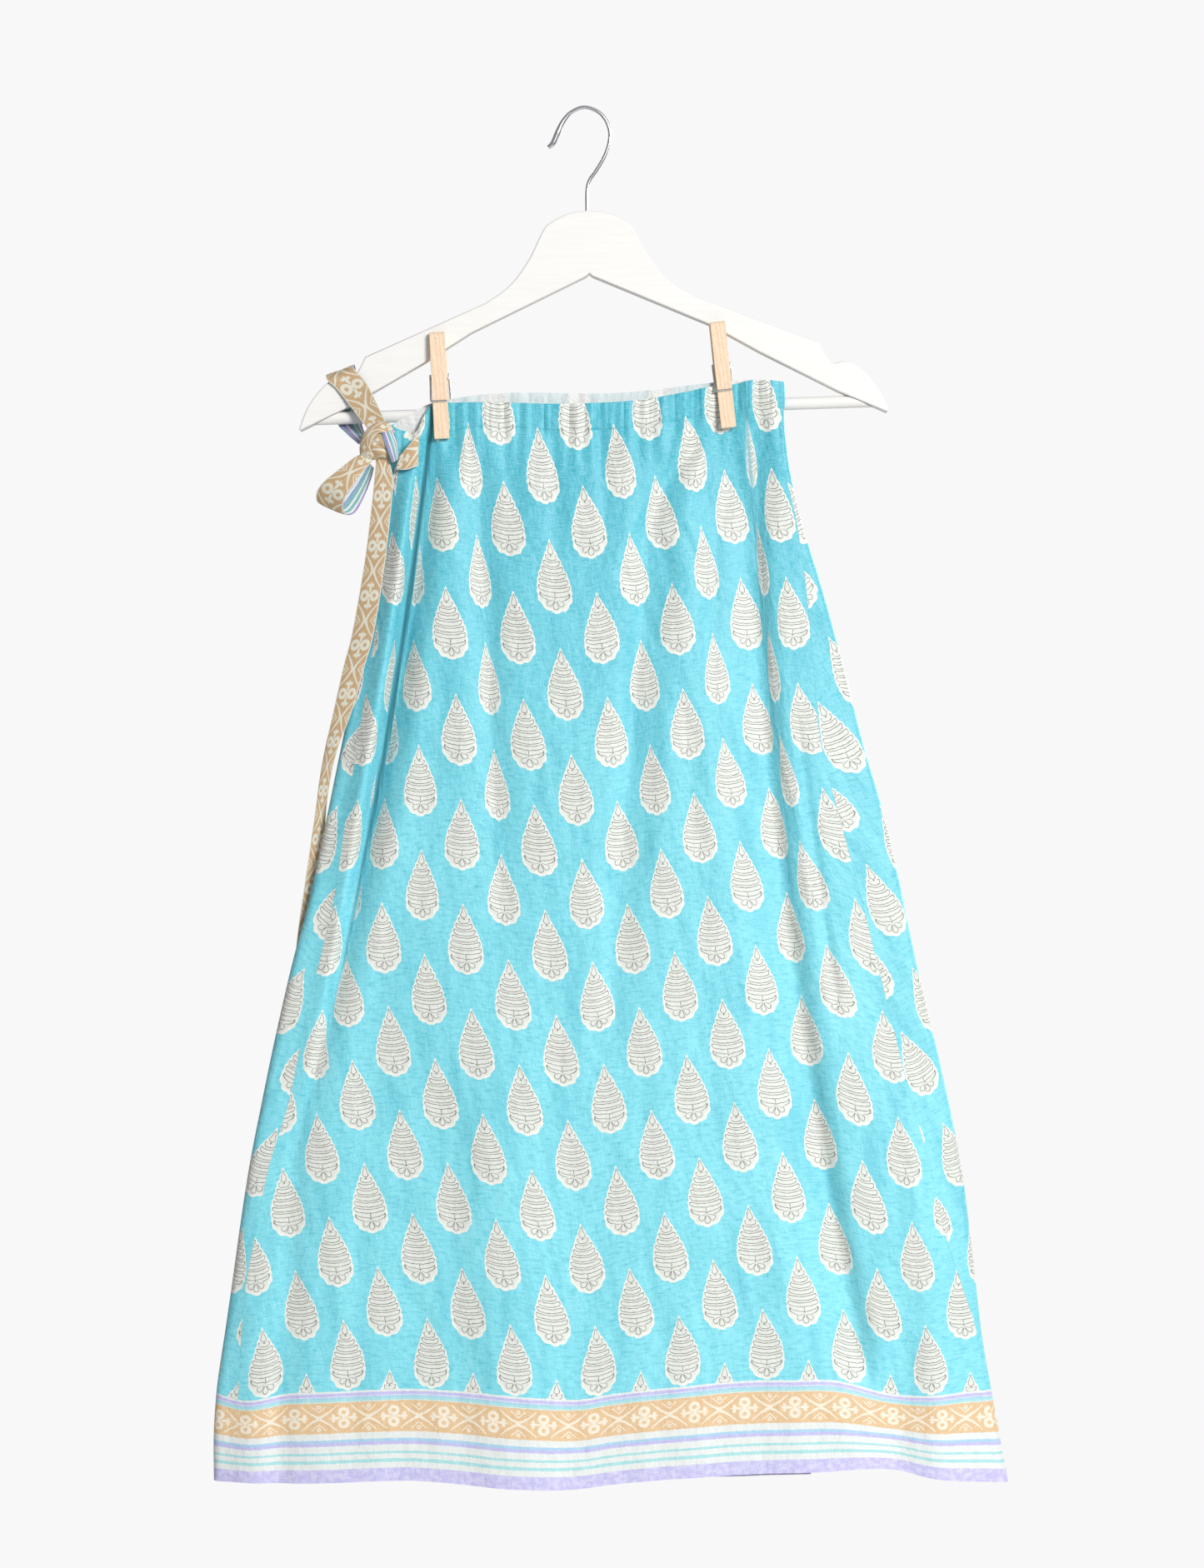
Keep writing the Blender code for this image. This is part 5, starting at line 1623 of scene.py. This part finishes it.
def chrome_material():
    """Plated steel wire, with faint drawing marks and a little dullness."""
    material, tree, shader = new_material("chrome", 0.15, Metallic=1.0)
    x, y, z = object_place(tree)
    marks = noise(vector_of(x / 0.6, y / 0.6, z / 6.0), 1.0, 3.0)
    clouds = noise(vector_of(x, y, z), 0.12, 2.0)
    link(mixed(clouds, CHROME_PALE, CHROME_DEEP), shader, "Base Color")
    link(marks * 0.12 + clouds * 0.12 + 0.14, shader, "Roughness")
    bump(marks, shader, 0.02)
    return material


PRINT = cloth_material("turquoise print", False)
INSIDE = cloth_material("print from inside", True)
TIE_TAN = strap_material("tie tan", False)
TIE_STRIPES = strap_material("tie stripes", True)
KNOT = knot_material()
CHROME = chrome_material()
PAINT = paint_material()
BIRCH = birch_material()


def make_light(name, place, target, size, power):
    """A square area light that faces its target."""
    light = bpy.data.lights.new(name, "AREA")
    light.size = size
    light.energy = power
    thing = added(name, light)
    thing.location = place
    aim = np.array(target) - np.array(place)
    thing.rotation_euler = mathutils.Vector(aim).to_track_quat("-Z", "Y").to_euler()


def make_floor():
    """A plain pale floor, as far below as where such a hanger hangs from a rail."""
    mesh = bpy.data.meshes.new("floor")
    build = bmesh.new()
    bmesh.ops.create_circle(build, cap_ends=True, segments=96, radius=FLOOR_RADIUS)
    build.to_mesh(mesh)
    build.free()
    material, tree, shader = new_material("pale floor", 0.8)
    x, y, _ = object_place(tree)
    link(mixed(noise(vector_of(x, y), 0.004, 3.0), FLOOR_DEEP, FLOOR_PALE), shader, "Base Color")
    mesh.materials.append(material)
    floor = added("floor", mesh)
    floor.location = (0.0, 0.0, FLOOR_HEIGHT)


def make_studio():
    """A pale room without walls: brighter to the camera than as light, so that folds show."""
    world = bpy.data.worlds.new("pale studio")
    bpy.context.scene.world = world
    world.use_nodes = True
    tree = world.node_tree
    behind = tree.nodes["Background"]
    behind.inputs["Color"].default_value = BACKGROUND
    fill = tree.nodes.new("ShaderNodeBackground")
    fill.inputs["Color"].default_value = FILL
    fill.inputs["Strength"].default_value = FILL_STRENGTH
    ray = tree.nodes.new("ShaderNodeLightPath")
    mix = tree.nodes.new("ShaderNodeMixShader")
    tree.links.new(ray.outputs["Is Camera Ray"], mix.inputs[0])
    tree.links.new(fill.outputs[0], mix.inputs[1])
    tree.links.new(behind.outputs[0], mix.inputs[2])
    tree.links.new(mix.outputs[0], tree.nodes["World Output"].inputs["Surface"])
    bpy.context.scene.view_settings.view_transform = "Standard"
    make_light("key", KEY_PLACE, KEY_AIM, KEY_SIZE, KEY_WATTS)
    make_light("back", BACK_PLACE, KEY_AIM, BACK_SIZE, BACK_WATTS)
    make_floor()
    camera = bpy.data.cameras.new("camera")
    camera.lens = CAMERA_LENS
    thing = added("camera", camera)
    thing.location = CAMERA_PLACE
    thing.rotation_euler = (math.pi / 2, 0, 0)
    bpy.context.scene.camera = thing


make_front()
make_underlap()
make_back()
make_band("waistband_front", 0, 3, BAND_PUFF)
make_band("waistband_back", 3, 6, 0.0)
make_strap("tie_loop", TIE_LOOP, TIE_STRIPES, TIE_TAN)
make_strap("tie_bow_left", TIE_BOW_LEFT, TIE_TAN, TIE_STRIPES)
make_strap("tie_bow_right", TIE_BOW_RIGHT, TIE_STRIPES, TIE_TAN)
make_strap("tie_knot_wrap", TIE_KNOT_WRAP, TIE_STRIPES, TIE_TAN)
make_strap("tie_tail", TIE_TAIL, TIE_TAN, TIE_STRIPES, TAIL_CROWN)
make_strap("tie_knot", KNOT_ROLL, TIE_TAN, TIE_STRIPES, TIE_CROWN, "_roll")
make_knot()
make_hook()
make_hanger()
make_bar()
for clothes_peg in PEGS:
    make_peg(clothes_peg)
make_studio()
